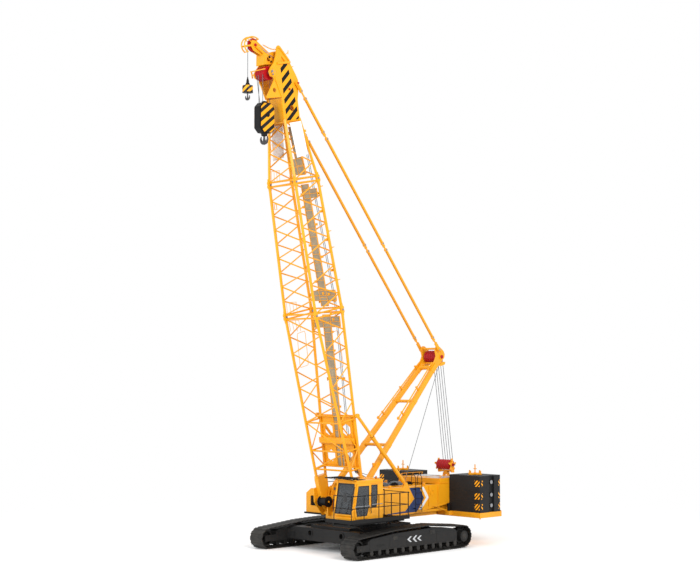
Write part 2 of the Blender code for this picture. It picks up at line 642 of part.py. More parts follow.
def cab_shell():
    shell = side_plate(cab_profile(0.0), CAB_INNER, CAB_OUTER)
    room = side_plate(cab_profile(CAB_WALL), CAB_INNER + CAB_WALL, CAB_OUTER - CAB_WALL)
    door = side_plate(DOOR_OPENING, CAB_OUTER - CAB_WALL - 0.02, CAB_OUTER + 0.02)
    rear_side = side_plate(REAR_WINDOW, CAB_OUTER - CAB_WALL - 0.02, CAB_OUTER + 0.02)
    right = side_plate(RIGHT_WINDOW, CAB_INNER - 0.02, CAB_INNER + CAB_WALL + 0.02)
    screen = box((CAB_INNER + 0.130, CAB_FRONT - 0.1, 2.060), (CAB_OUTER - 0.130, CAB_FRONT + 0.420, 3.460))
    roof = box((CAB_INNER + 0.300, CAB_FRONT + 0.550, CAB_HIGH - 0.1), (CAB_OUTER - 0.300, CAB_FRONT + 1.150, CAB_HIGH + 0.1))
    back = box((CAB_INNER + 0.200, CAB_REAR - 0.1, 2.700), (CAB_OUTER - 0.200, CAB_REAR + 0.1, 3.350))
    shell = cut(shell, room, door, rear_side, right, screen, roof, back)
    rail = box((CAB_OUTER - 0.01, -3.300, 3.470), (CAB_OUTER + 0.050, -1.430, 3.510))
    return fuse(shell, rail)


def fill_window(outline, low_x, high_x):
    """Pane that fits a window's outline with a thin seal gap all round."""
    centre_y = sum(y for y, _ in outline) / len(outline)
    centre_z = sum(z for _, z in outline) / len(outline)
    shrink = 0.9992
    fitted = [(centre_y + (y - centre_y) * shrink, centre_z + (z - centre_z) * shrink) for y, z in outline]
    return side_plate(fitted, low_x, high_x)


def windshield():
    """Front pane, leaning with the cab's front face."""
    front_low = (CAB_FRONT, PLATFORM_HIGH + SEAT + 0.250)
    front_high = (CAB_FRONT + 0.300, CAB_HIGH)
    slope = (front_high[0] - front_low[0]) / (front_high[1] - front_low[1])
    low_z, high_z = 2.060 + SEAT, 3.460 - SEAT

    def face(z, inset):
        return front_low[0] + (z - front_low[1]) * slope + inset
    outline = [(face(low_z, 0.020), low_z), (face(low_z, 0.020 + GLASS), low_z),
               (face(high_z, 0.020 + GLASS), high_z), (face(high_z, 0.020), high_z)]
    return side_plate(outline, CAB_INNER + 0.130 + SEAT, CAB_OUTER - 0.130 - SEAT)


def operator_seat():
    floor = PLATFORM_HIGH + SEAT + CAB_WALL + SEAT
    base = box((1.980, -2.600, floor), (2.420, -2.200, floor + 0.350))
    cushion = box((1.950, -2.750, floor + 0.340), (2.450, -2.150, floor + 0.480))
    back = side_plate([(-2.280, floor + 0.450), (-2.150, floor + 0.450), (-1.950, floor + 1.150), (-2.060, floor + 1.150)], 1.960, 2.440)
    arms = [box((x, -2.900, floor + 0.550), (x + 0.160, -2.250, floor + 0.720)) for x in (1.780, 2.460)]
    stands = [box((x + 0.04, -2.550, floor + 0.100), (x + 0.12, -2.350, floor + 0.600)) for x in (1.780, 2.460)]
    ties = box((1.830, -2.500, floor + 0.120), (2.570, -2.400, floor + 0.200))
    return fuse(base, cushion, back, *arms, *stands, ties)


finish(cab_shell(), "cab_shell", YELLOW)
door = side_plate(DOOR_OUTLINE, SHUT_X, SHUT_X + DOOR_THICKNESS, [DOOR_WINDOW])
finish(door, "cab_door", YELLOW)
finish(fill_window(DOOR_WINDOW, SHUT_X + 0.012, SHUT_X + 0.012 + GLASS), "cab_door_glass", PANE)
finish(fill_window(REAR_WINDOW, CAB_OUTER - 0.030, CAB_OUTER - 0.030 + GLASS), "cab_left_glass", PANE)
finish(fill_window(RIGHT_WINDOW, CAB_INNER + 0.020, CAB_INNER + 0.020 + GLASS), "cab_right_glass", PANE)
finish(windshield(), "cab_windshield", PANE)
finish(operator_seat(), "operator_seat", TRIM)


# ---------------------------------------------------------------- counterweight
def ballast_slab(side, low_z, high_z):
    """Cast slab with a handling groove down its outer side and a chamfered edge."""
    chamfer = 0.060
    groove_low, groove_high, groove_depth = 5.610, 6.010, 0.120
    inner, outer = SLAB_INNER, SLAB_OUTER
    outline = [(inner, SLAB_FRONT), (outer - chamfer, SLAB_FRONT), (outer, SLAB_FRONT + chamfer), (outer, groove_low),
               (outer - groove_depth, groove_low), (outer - groove_depth, groove_high), (outer, groove_high),
               (outer, SLAB_REAR - chamfer), (outer - chamfer, SLAB_REAR), (inner, SLAB_REAR)]
    slab = floor_plate([(side * x, y) for x, y in outline], low_z + SEAT, high_z)
    middle = (low_z + high_z) / 2.0
    lug = bar((side * (outer - groove_depth - 0.02), 5.810, middle + 0.05), (side * (outer - 0.020), 5.810, middle + 0.05), 0.090, 10)
    return fuse(slab, lug)


finish(box((-TRAY_HALF, TRAY_FRONT, TRAY_LOW), (TRAY_HALF, TRAY_REAR, TRAY_HIGH)), "counterweight_tray", YELLOW)
for name, side in (("left", 1.0), ("right", -1.0)):
    base_z = TRAY_HIGH
    for level, height in zip(("lower", "middle", "upper"), SLAB_HEIGHTS):
        finish(ballast_slab(side, base_z, base_z + height), "counterweight_" + name + "_" + level, CONCRETE)
        base_z += height


# ---------------------------------------------------------------- boom
def boom_half(along):
    """Half width and half depth of the boom's section at a distance from its foot."""
    stations = [(0.0, FOOT_HALF_WIDTH, FOOT_HALF_DEPTH), (JOINT_1, J1_HALF_WIDTH, J1_HALF_DEPTH),
                (JOINT_2, J2_HALF_WIDTH, J2_HALF_DEPTH), (HEAD_START, HEAD_HALF_WIDTH, HEAD_HALF_DEPTH)]
    for (s0, w0, d0), (s1, w1, d1) in zip(stations, stations[1:]):
        if along <= s1:
            share = (along - s0) / (s1 - s0)
            return w0 + (w1 - w0) * share, d0 + (d1 - d0) * share
    return HEAD_HALF_WIDTH, HEAD_HALF_DEPTH


def corner(along, side, face):
    width, depth = boom_half(along)
    return on_boom(side * width, along, face * depth)


def joint_gap(station):
    """Half the gap between two sections' chords, so that their square ends just miss where the chords bend."""
    before = corner(station, 1, 1) - corner(station - 0.5, 1, 1)
    after = corner(station + 0.5, 1, 1) - corner(station, 1, 1)
    return CHORD_RADIUS * math.tan(before.angle(after) / 2.0) + SEAT / 3.0


def lacing(start, end, faces):
    """Zigzag lacing between two stations; faces lists the four sides it covers."""
    pieces = []
    for first, second in faces:
        pieces.append(bar(corner(start, *first), corner(end, *second), LACING_RADIUS, 4))
    return pieces


def battens(station):
    """Four cross bars that square up the section at one station."""
    near = [(1, 1), (1, -1), (-1, -1), (-1, 1)]
    return [bar(corner(station, *a), corner(station, *b), LACING_RADIUS * 1.2, 4) for a, b in zip(near, near[1:] + near[:1])]


def zigzag(first, last, panels, flip=False):
    """Lacings on all four sides between two battens, running to and fro once in every two panels."""
    near = [(1, 1), (1, -1), (-1, -1), (-1, 1)]
    pieces = []
    for k in range(panels):
        s0 = first + (last - first) * k / panels
        s1 = first + (last - first) * (k + 1) / panels
        swap = (k % 2 == 0) != flip
        faces = []
        for a, b in zip(near, near[1:] + near[:1]):
            faces.append((a, b) if swap else (b, a))
        pieces += lacing(s0, s1, faces)
    return pieces


def chords(start, end):
    return [bar(corner(start, side, face), corner(end, side, face), CHORD_RADIUS, 8) for side in (-1, 1) for face in (-1, 1)]


def lattice(start, end, panels, flip=False):
    """Chords, end battens and zigzag lacings of one boom section."""
    first, last = start + BATTEN_INSET, end - BATTEN_INSET
    return chords(start, end) + battens(first) + battens(last) + zigzag(first, last, panels, flip)


def boom_butt():
    """Bottom section: chords running down to two forked feet with their pins."""
    start = BUTT_START
    end = JOINT_1 - joint_gap(JOINT_1)
    pieces = chords(start, end)
    for station in (*BUTT_BATTENS, end - BATTEN_INSET):
        pieces += battens(station)
    low, middle, high = BUTT_BATTENS
    pieces += zigzag(low, middle, 1) + zigzag(middle, high, 1, True)
    pieces += zigzag(high, end - BATTEN_INSET, 6)
    for side in (-1.0, 1.0):
        foot = sorted((side * 1.156, side * 1.424))
        width = FOOT_HALF_WIDTH
        eye = [(0.230 * math.cos(t), 0.230 * math.sin(t)) for t in
               (math.radians(100.0 + 160.0 * k / 8) for k in range(9))]
        outline = eye + [(start - 0.1, -0.330), (start + 0.1, -0.300), (start + 0.1, 0.300), (start - 0.1, 0.330)]
        pieces.append(boom_plate(outline, *foot))
        pin = sorted((side * (1.100 - 0.02), side * (FRAME_HALF + 0.02)))
        pieces.append(disc(BOOM_FOOT_Y, BOOM_FOOT_Z, BOOM_PIN, *pin, 16))
    pieces.append(boom_plate([(1.750, -0.285), (4.350, -0.467), (4.350, -0.487), (1.750, -0.305)], -1.230, 1.230))
    openings = []
    for side in (-1.0, 1.0):
        for along in (2.300, 3.600):
            x = side * REAR_OPENING_OUT
            openings.append(bar(on_boom(x, along, -0.150), on_boom(x, along, -0.750), REAR_OPENING_RADIUS, 6))
    return cut(fuse(*pieces), *openings)


def boom_insert():
    return fuse(*lattice(JOINT_1 + joint_gap(JOINT_1), JOINT_2 - joint_gap(JOINT_2), 9))


def boom_top():
    """Tapering top section, ending in the plated head that carries the sheaves."""
    pieces = lattice(JOINT_2 + joint_gap(JOINT_2), HEAD_START, 4)
    cheek = [(18.750, -0.520), (18.750, 0.520), (20.030, 0.440), (20.450, 0.560), (20.800, 0.720), (20.980, 0.760),
             (21.080, 0.960), (21.300, 1.000), (21.450, 0.880), (21.690, 0.600), (22.060, 0.380), (22.390, 0.290),
             (22.430, 0.180), (22.330, 0.080), (21.720, -0.360), (20.980, -0.700), (20.750, -0.780), (20.450, -0.760),
             (19.800, -0.560)]
    window = [(21.950, 0.060), (21.660, 0.200), (21.700, -0.120)]
    bores = [(*HEAD_AXLE, HEAD_SHAFT, 16), (19.450, -0.100, 0.140, 12)]
    for side in (-1.0, 1.0):
        x = sorted((side * 0.500, side * 0.560))
        pieces.append(boom_plate(cheek, *x, [window], bores))
    pieces.append(boom_plate([(18.800, -0.520), (19.800, -0.545), (19.800, -0.500), (18.800, -0.475)], -0.510, 0.510))
    pieces.append(boom_plate([(18.800, 0.360), (20.000, 0.360), (20.000, 0.405), (18.800, 0.420)], -0.510, 0.510))
    pieces.append(boom_plate([(21.600, -0.360), (21.700, -0.330), (22.250, 0.050), (22.200, 0.100), (21.600, -0.280)], -0.510, 0.510))
    pieces.append(bar(on_boom(-PENDANT_HALF - 0.080, *PENDANT_PIN), on_boom(PENDANT_HALF + 0.080, *PENDANT_PIN), PENDANT_PIN_RADIUS, 12))
    return fuse(*pieces)


def jib_arm():
    """Short nose that holds the auxiliary sheave ahead of the boom head."""
    pieces = []
    for side in (-1.0, 1.0):
        x = sorted((side * 0.090, side * 0.130))
        outline = [(21.600, -0.120), (21.620, 0.320), (22.080, 0.880), (22.360, 1.380), (22.620, 1.500),
                   (22.860, 1.380), (22.800, 1.100), (21.900, 0.100), (21.800, -0.150)]
        pieces.append(boom_plate(outline, *x, (), [(*JIB_AXLE, JIB_SHAFT, 12)]))
        along, out = JIB_AXLE[0], JIB_AXLE[1] + GUARD_RISE
        turns = [math.radians(-52.0 + 186.0 * k / 14) for k in range(15)]
        hoop = [(along + GUARD_HEIGHT * math.cos(t), out + GUARD_REACH * math.sin(t)) for t in turns]
        hoop += [(along + (GUARD_HEIGHT - GUARD_BAND) * math.cos(t), out + (GUARD_REACH - GUARD_BAND) * math.sin(t)) for t in reversed(turns)]
        pieces.append(boom_plate(hoop, *x))
        pieces.append(boom_plate([(along - 0.040, out), (along + 0.040, out), (along + 0.040, out + 0.520), (along - 0.040, out + 0.520)], *x))
    pieces.append(boom_plate([(21.660, -0.080), (21.880, -0.080), (21.880, 0.200), (21.660, 0.200)], -0.4997, 0.4997))
    pieces.append(boom_plate([(22.150, 0.600), (22.250, 0.600), (22.300, 0.800), (22.200, 0.800)], -0.100, 0.100))
    return fuse(*pieces)


def sheave_pack(y, z, radius, half, shaft_radius, shaft_half, count, collar=0.0):
    """Grooved rope wheels side by side on one shaft."""
    pieces = []
    step = 2.0 * half / count
    for k in range(count):
        low = -half + step * k
        pieces.append(disc(y, z, radius, low + step * 0.06, low + step * 0.94, 20))
    core = disc(y, z, radius * 0.72, -half + 0.004, half - 0.004, 16)
    shaft = disc(y, z, shaft_radius, -shaft_half, shaft_half, 16 if shaft_radius > 0.045 else 12)
    pieces += [core, shaft]
    if collar:
        for side in (-1.0, 1.0):
            x = sorted((side * (shaft_half - 0.050), side * (shaft_half + 0.030)))
            pieces.append(disc(y, z, collar, *x, 12))
    return fuse(*pieces)


def at_boom(pin):
    place = on_boom(0.0, *pin)
    return place.y, place.z


head_y, head_z = at_boom(HEAD_AXLE)
jib_y, jib_z = at_boom(JIB_AXLE)
finish(boom_butt(), "boom_butt", YELLOW, BOOM_FOOT)
finish(boom_insert(), "boom_insert", YELLOW, BOOM_FOOT)
finish(boom_top(), "boom_top", YELLOW, BOOM_FOOT)
finish(jib_arm(), "auxiliary_jib", YELLOW, BOOM_FOOT)
finish(sheave_pack(head_y, head_z, HEAD_SHEAVE_RADIUS, 0.300, HEAD_SHAFT, 0.620, 4, 0.120), "head_sheaves", RED, (0.0, head_y, head_z))
finish(sheave_pack(jib_y, jib_z, JIB_SHEAVE_RADIUS, 0.070, JIB_SHAFT, 0.170, 1), "jib_sheave", RED, (0.0, jib_y, jib_z))


# ---------------------------------------------------------------- mast, pendants and backstops
def mast():
    """Two box legs that lean together, with ties, plated head and its feet."""
    pieces = []
    for side in (-1.0, 1.0):
        foot, head = on_mast(side * MAST_FOOT_HALF, 0.250), on_mast(side * MAST_HEAD_HALF, MAST_LEG)
        pieces.append(bar(foot, head, 0.170, 4, turn=math.radians(45.0)))
        x = sorted((side * (MAST_FOOT_HALF - 0.074), side * (MAST_FOOT_HALF + 0.074)))
        eye = [(0.140 * math.cos(t), 0.140 * math.sin(t)) for t in
               (math.radians(90.0 + 180.0 * k / 8) for k in range(9))]
        pieces.append(mast_plate(eye + [(0.500, -0.110), (0.500, 0.110)], *x))
        pin = sorted((side * (MAST_FOOT_HALF - 0.140), side * (MAST_FOOT_HALF + 0.140)))
        pieces.append(disc(MAST_FOOT_Y, MAST_FOOT_Z, MAST_PIN, *pin, 16))
        cheek = [(MAST_LENGTH + a, b) for a, b in ((-1.000, -0.180), (0.150, -0.220), (0.360, 0.050), (0.280, 0.500),
                                                    (0.100, 0.640), (-0.100, 0.560), (-0.300, 0.260), (-1.000, 0.180))]
        plate_x = sorted((side * 0.470, side * 0.530))
        pieces.append(mast_plate(cheek, *plate_x, (), [(MAST_LENGTH, 0.0, ROPE_SHAFT, 16)]))
    for row in (3.000, 6.000):
        half = MAST_FOOT_HALF + (MAST_HEAD_HALF - MAST_FOOT_HALF) * row / MAST_LEG
        pieces.append(bar(on_mast(-half, row), on_mast(half, row), 0.080, 6))
    pieces.append(bar(on_mast(-0.500, MAST_LEG - 0.150), on_mast(0.500, MAST_LEG - 0.150), 0.110, 6))
    return fuse(*pieces)


def pendant(side):
    """Main stay from the boom head to the mast head: eye links and two bars joined by a coupling."""
    start = on_boom(0.0, *PENDANT_PIN)
    end = Vector((0.0, MAST_PENDANT_PIN_Y, MAST_PENDANT_PIN_Z))
    aim = (end - start).normalized()
    across = Vector((0.0, -aim.z, aim.y))
    length = (end - start).length
    x = side * PENDANT_HALF

    def link(low, high, half, hole_at=None):
        corners = [(low, -half), (high, -half), (high, half), (low, half)]
        points = [tuple(start + aim * a + across * b)[1:] for a, b in corners]
        holes = []
        if hole_at is not None:
            centre = start + aim * hole_at
            holes.append(bore_outline(centre.y, centre.z, PENDANT_PIN_RADIUS, 12))
        return side_plate(points, x - 0.025, x + 0.025, holes)

    shift = Vector((x, 0.0, 0.0))
    rod = bar(start + shift + aim * 0.300, end + shift - aim * 0.300, 0.042, 8)
    eyes = [link(-0.110, 0.450, 0.090, 0.0), link(length - 0.450, length + 0.090, 0.090)]
    couplings = [link(length * share - 0.220, length * share + 0.220, 0.075) for share in (0.170, 0.580, 0.950)]
    return fuse(rod, *eyes, *couplings)


BACKSTOP_FOOT = Vector((0.0, BACKSTOP_FOOT_Y, BACKSTOP_FOOT_Z))
BACKSTOP_EYE = on_boom(0.0, BACKSTOP_EYE_S, -boom_half(BACKSTOP_EYE_S)[1])
BACKSTOP_AIM = (BACKSTOP_EYE - BACKSTOP_FOOT).normalized()


def backstop_tube(side):
    """Outer tube, hinged on the frame, bored for its rod."""
    shift = Vector((side * BACKSTOP_HALF, 0.0, 0.0))
    foot = BACKSTOP_FOOT + shift
    top = foot + BACKSTOP_AIM * BACKSTOP_TUBE_LENGTH
    tube = bar(foot + BACKSTOP_AIM * 0.215, top, BACKSTOP_TUBE_RADIUS, 12)
    bore_radius = (BACKSTOP_ROD_RADIUS + 0.0008) / math.cos(math.pi / 12)
    bore = bar(foot + BACKSTOP_AIM * 0.400, top + BACKSTOP_AIM * 0.1, bore_radius, 12, turn=math.pi / 12)
    tube = cut(tube, bore)
    across = Vector((0.0, -BACKSTOP_AIM.z, BACKSTOP_AIM.y))
    corners = [(-0.070, -0.030), (-0.070, 0.030), (0.0, 0.075), (0.290, 0.075), (0.290, -0.075), (0.0, -0.075)]
    points = [tuple(BACKSTOP_FOOT + BACKSTOP_AIM * a + across * b)[1:] for a, b in corners]
    x = side * BACKSTOP_HALF
    eye = side_plate(points, x - 0.027, x + 0.027)
    pin = disc(BACKSTOP_FOOT_Y, BACKSTOP_FOOT_Z, BACKSTOP_PIN, x - 0.065, x + 0.065, 12)
    return fuse(tube, eye, pin)


def backstop_rod(side):
    """Inner rod; its eye reaches the boom's chord, where the linkage is left open."""
    shift = Vector((side * BACKSTOP_HALF, 0.0, 0.0))
    eye = BACKSTOP_EYE + shift
    low = eye - BACKSTOP_AIM * BACKSTOP_ROD_LENGTH
    rod = bar(low, eye - BACKSTOP_AIM * 0.050, BACKSTOP_ROD_RADIUS, 12)
    head = bar(eye - Vector((0.060, 0.0, 0.0)), eye + Vector((0.060, 0.0, 0.0)), 0.110, 12)
    return fuse(rod, head)


finish(mast(), "mast", YELLOW, MAST_FOOT)
mast_axle = on_mast(0.0, MAST_LENGTH)
finish(sheave_pack(mast_axle.y, mast_axle.z, MAST_SHEAVE_RADIUS, 0.400, ROPE_SHAFT, 0.560, 4),
       "mast_sheaves", RED, (0.0, mast_axle.y, mast_axle.z))
for name, side in (("left", 1.0), ("right", -1.0)):
    finish(pendant(side), "pendant_" + name, YELLOW, BOOM_FOOT)
    finish(backstop_tube(side), "backstop_tube_" + name, YELLOW, BACKSTOP_FOOT)
    finish(backstop_rod(side), "backstop_rod_" + name, STEEL, BACKSTOP_FOOT)


# ---------------------------------------------------------------- luffing block at the rear
def luffing_block():
    """Yoke that swings on the frame's rear lugs and holds the lower rope wheels."""
    dy, dz = LUFF_AXLE_OFFSET
    pieces = []
    axle_y, axle_z = LUFF_PIN_Y + dy, LUFF_PIN_Z + dz
    for side in (-1.0, 1.0):
        x = sorted((side * 0.440, side * 0.480))
        outline = round_outline(axle_y, axle_z, 0.130, 12) + []
        arm = hull(outline + [(LUFF_PIN_Y - 0.110, LUFF_PIN_Z + 0.060), (LUFF_PIN_Y + 0.110, LUFF_PIN_Z + 0.060),
                              (axle_y - 0.04, axle_z + 0.330), (axle_y + 0.04, axle_z + 0.330)])
        pieces.append(side_plate(arm, *x, [bore_outline(axle_y, axle_z, ROPE_SHAFT)]))
    yoke = box((-0.460, LUFF_PIN_Y - 0.090, LUFF_PIN_Z + 0.110), (0.460, LUFF_PIN_Y + 0.090, LUFF_PIN_Z + 0.190))
    tongue = side_plate([(LUFF_PIN_Y - 0.070, LUFF_PIN_Z - 0.060), (LUFF_PIN_Y + 0.070, LUFF_PIN_Z - 0.060),
                         (LUFF_PIN_Y + 0.080, LUFF_PIN_Z + 0.150), (LUFF_PIN_Y - 0.080, LUFF_PIN_Z + 0.150)], -0.112, 0.112)
    pin = disc(LUFF_PIN_Y, LUFF_PIN_Z, LUFF_PIN, -0.180, 0.180, 12)
    return fuse(yoke, *pieces, tongue, pin)


luff_y, luff_z = LUFF_PIN_Y + LUFF_AXLE_OFFSET[0], LUFF_PIN_Z + LUFF_AXLE_OFFSET[1]
finish(luffing_block(), "luffing_block", YELLOW, (0.0, LUFF_PIN_Y, LUFF_PIN_Z))
finish(sheave_pack(luff_y, luff_z, 0.265, 0.420, ROPE_SHAFT, 0.510, 4), "luffing_sheaves", RED, (0.0, luff_y, luff_z))


# ---------------------------------------------------------------- hook blocks
def octagon(y, z, half_y, half_z, chamfer):
    return [(y - half_y + chamfer, z - half_z), (y + half_y - chamfer, z - half_z), (y + half_y, z - half_z + chamfer),
            (y + half_y, z + half_z - chamfer), (y + half_y - chamfer, z + half_z), (y - half_y + chamfer, z + half_z),
            (y - half_y, z + half_z - chamfer), (y - half_y, z - half_z + chamfer)]


def hook_block(y, z):
    """Two heavy cheeks round the rope wheels, tied below by the crosshead."""
    pieces = []
    for side in (-1.0, 1.0):
        x = sorted((side * 0.170, side * 0.220))
        pieces.append(side_plate(octagon(y, z - 0.150, 0.420, 0.720, 0.200), *x, [bore_outline(y, z, BLOCK_SHAFT)]))
    crosshead = box((-0.190, y - 0.160, z - 0.800), (0.190, y + 0.160, z - 0.560))
    spacer = box((-0.190, y - 0.300, z - 0.560), (0.190, y + 0.300, z - 0.500))
    block = fuse(crosshead, spacer, *pieces)
    return cut(block, disc_z(0.0506 / math.cos(math.pi / 16), z - 0.900, z - 0.600, 16, 0.0, y))


def double_hook(y, z, scale, shank_high, shank_radius):
    """Ramshorn hook: a forged outline with two horns, and its round shank."""
    outer = [(-0.30, 0.16), (-0.40, -0.02), (-0.34, -0.22), (-0.16, -0.36), (0.0, -0.40), (0.16, -0.36), (0.34, -0.22),
             (0.40, -0.02), (0.30, 0.16), (0.26, 0.10), (0.29, -0.02), (0.22, -0.14), (0.12, -0.15), (0.07, -0.04),
             (0.075, 0.20), (-0.075, 0.20), (-0.07, -0.04), (-0.12, -0.15), (-0.22, -0.14), (-0.29, -0.02), (-0.26, 0.10)]
    horns = plate([[(a * scale, z + b * scale) for a, b in outer]], y - 0.070 * scale, y + 0.070 * scale,
                  lambda a, b, level: (a, level, b))
    shank = disc_z(shank_radius, z + 0.10 * scale, shank_high, 16, 0.0, y)
    return fuse(horns, shank)


hook_y, hook_z = head_y, head_z - HOOK_AXLE_DROP
finish(hook_block(hook_y, hook_z), "hook_block", YELLOW, (0.0, head_y, head_z))
finish(sheave_pack(hook_y, hook_z, 0.330, 0.140, BLOCK_SHAFT, 0.240, 2), "hook_sheaves", RED, (0.0, hook_y, hook_z))
hook = double_hook(hook_y, hook_z - 1.130, 0.72, hook_z - 0.601, 0.050)
finish(hook, "main_hook", IRON, (0.0, hook_y, hook_z))


def auxiliary_block(y, z):
    """Round headache weight with a cone on top, turned from one profile."""
    profile = [(0.030, 0.620), (0.060, 0.300), (0.110, 0.240), (0.240, 0.180), (0.250, -0.100), (0.120, -0.140), (0.060, -0.160)]
    bm = bmesh.new()
    rings = 14
    loops = []
    for radius, height in profile:
        loops.append([bm.verts.new((radius * math.cos(2 * math.pi * k / rings), y + radius * math.sin(2 * math.pi * k / rings), z + height))
                      for k in range(rings)])
    for upper, lower in zip(loops, loops[1:]):
        for k in range(rings):
            bm.faces.new((upper[k], upper[(k + 1) % rings], lower[(k + 1) % rings], lower[k]))
    bm.faces.new(loops[0])
    bm.faces.new(loops[-1])
    return from_bmesh(bm)


rope_y = jib_y - JIB_SHEAVE_RADIUS
auxiliary_z = jib_z - AUXILIARY_DROP - 0.620
finish(auxiliary_block(rope_y, auxiliary_z), "auxiliary_block", YELLOW, (0.0, jib_y, jib_z))
small_hook = double_hook(rope_y, auxiliary_z - 0.340, 0.42, auxiliary_z - 0.160 - SEAT, 0.030)
finish(small_hook, "auxiliary_hook", IRON, (0.0, rope_y, auxiliary_z))
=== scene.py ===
import json
import math

import bpy
import numpy as np
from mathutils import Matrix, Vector


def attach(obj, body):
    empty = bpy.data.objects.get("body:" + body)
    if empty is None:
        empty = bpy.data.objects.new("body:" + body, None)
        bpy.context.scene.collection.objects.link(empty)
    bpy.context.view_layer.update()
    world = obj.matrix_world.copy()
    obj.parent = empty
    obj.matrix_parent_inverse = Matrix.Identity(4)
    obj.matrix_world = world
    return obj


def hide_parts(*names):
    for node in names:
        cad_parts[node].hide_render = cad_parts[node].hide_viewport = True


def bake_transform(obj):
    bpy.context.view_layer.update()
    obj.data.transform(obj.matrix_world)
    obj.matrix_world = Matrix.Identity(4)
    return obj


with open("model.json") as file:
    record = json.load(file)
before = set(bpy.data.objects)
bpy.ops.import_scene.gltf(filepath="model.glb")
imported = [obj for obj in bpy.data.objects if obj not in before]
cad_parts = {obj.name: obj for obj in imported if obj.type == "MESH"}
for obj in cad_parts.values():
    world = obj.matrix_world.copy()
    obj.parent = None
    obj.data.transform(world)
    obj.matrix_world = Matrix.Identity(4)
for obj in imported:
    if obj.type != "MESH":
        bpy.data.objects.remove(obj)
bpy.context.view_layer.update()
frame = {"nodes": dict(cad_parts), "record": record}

SLEW = 0.652                     # y of the slewing axis; every place below is measured from that axis


# ---------------------------------------------------------------- surfaces
def loft(rings, loop=False):
    """Grid of quads through rings of equally many points, ring k to ring k + 1 and round each ring.

    Flat faces close the first and the last ring, unless loop joins the last ring to the first.
    """
    rings = np.asarray(rings, float)
    count, around = rings.shape[:2]
    index = np.arange(count * around).reshape(count, around)
    here, after = (index, np.roll(index, -1, 0)) if loop else (index[:-1], index[1:])
    quads = np.stack([here, np.roll(here, -1, 1), np.roll(after, -1, 1), after], -1).reshape(-1, 4)
    points = rings.reshape(-1, 3)
    a, b, c, d = np.moveaxis(points[quads] - points.mean(0), 1, 0)
    volume = np.sum(a * np.cross(b, c)) + np.sum(a * np.cross(c, d))
    faces = quads.tolist()
    if not loop:
        for cap in (index[0][::-1], index[-1]):
            corner = points[cap] - points.mean(0)
            volume += np.sum(corner[0] * np.cross(corner[1:-1], corner[2:]))
            faces.append(cap.tolist())
    if volume < 0.0:
        faces = [face[::-1] for face in faces]
    return points, faces


def frames_along(path, loop=False):
    """Two cross directions at every point of a path, carried along it with the least twist."""
    ahead = np.roll(path, -1, 0) - np.roll(path, 1, 0)
    if not loop:
        ahead[0], ahead[-1] = path[1] - path[0], path[-1] - path[-2]
    ahead /= np.linalg.norm(ahead, axis=1)[:, None]
    first = np.cross(ahead[0], (0.0, 0.0, 1.0) if abs(ahead[0][2]) < 0.9 else (0.0, 1.0, 0.0))
    sides = []
    for direction in ahead:
        first = first - direction * np.dot(first, direction)
        first = first / np.linalg.norm(first)
        sides.append(first)
    sides = np.array(sides)
    return sides, np.cross(ahead, sides)


def pipe(path, radius, sides=8, loop=False):
    """Round tube: a circle of the given radius carried along the path; radius may differ at each point."""
    path = np.asarray(path, float)
    radius = np.broadcast_to(radius, (len(path),))[:, None, None]
    across, up = frames_along(path, loop)
    turn = (2.0 * np.pi * np.arange(sides) / sides)[:, None]
    return loft(path[:, None] + radius * (across[:, None] * np.cos(turn) + up[:, None] * np.sin(turn)), loop)


def smooth_path(points, count=24):
    """Curve through points: between two points, the cubic whose slopes run parallel to their neighbours' chord."""
    points = np.asarray(points, float)
    padded = np.vstack([2 * points[0] - points[1], points, 2 * points[-1] - points[-2]])
    a, b, c, d = (padded[k:len(padded) - 3 + k, None] for k in range(4))
    t = np.linspace(0.0, 1.0, max(2, count // (len(points) - 1)), endpoint=False)[None, :, None]
    curve = 0.5 * (2 * b + (c - a) * t + (2 * a - 5 * b + 4 * c - d) * t ** 2 + (3 * b - a - 3 * c + d) * t ** 3)
    return np.vstack([curve.reshape(-1, 3), points[-1:]])


def rod(start, end, radius, sides=8, end_radius=None):
    """Straight round bar between two points; a second radius makes it a cone."""
    return pipe([start, end], [radius, radius if end_radius is None else end_radius], sides)


def turned(profile, centre, axis="x", sides=24, loop=False):
    """Turned body: each (radius, height) of the profile makes a circle round the axis at that height."""
    radius, height = np.asarray(profile, float).T[:, :, None]
    turn = 2.0 * np.pi * np.arange(sides) / sides
    a, b, c = np.broadcast_arrays(radius * np.cos(turn), radius * np.sin(turn), height)
    order = {"x": (c, a, b), "y": (a, c, b), "z": (a, b, c)}[axis]
    return loft(np.stack(order, -1) + np.asarray(centre, float), loop)


def inset(outline, amount):
    """Closed outline moved inwards along the average normal of the edges at each corner."""
    points = np.asarray(outline, float)
    area = np.sum(points[:, 0] * np.roll(points[:, 1], -1) - np.roll(points[:, 0], -1) * points[:, 1])
    edge = np.roll(points, -1, 0) - points
    normal = np.stack([-edge[:, 1], edge[:, 0]], -1) * np.sign(area)
    normal /= np.linalg.norm(normal, axis=1)[:, None] + 1e-12
    sum_of_two = normal + np.roll(normal, 1, 0)
    sum_of_two /= np.maximum(np.sum(sum_of_two * sum_of_two, 1) / 2.0, 0.35)[:, None]
    return points + sum_of_two * amount


def put(place, outline, level):
    """The points of an outline, set in space at one level by a place function."""
    return np.stack(np.broadcast_arrays(*place(outline[:, 0], outline[:, 1], level)), -1)


def slab(outline, low, high, place, bevel=0.004):
    """Flat body between two levels whose outline steps in by the bevel at both faces."""
    outline = np.asarray(outline, float)
    low, high = min(low, high), max(low, high)
    small = inset(outline, bevel)
    levels = ((small, low), (outline, low + bevel), (outline, high - bevel), (small, high))
    return loft([put(place, shape, level) for shape, level in levels])


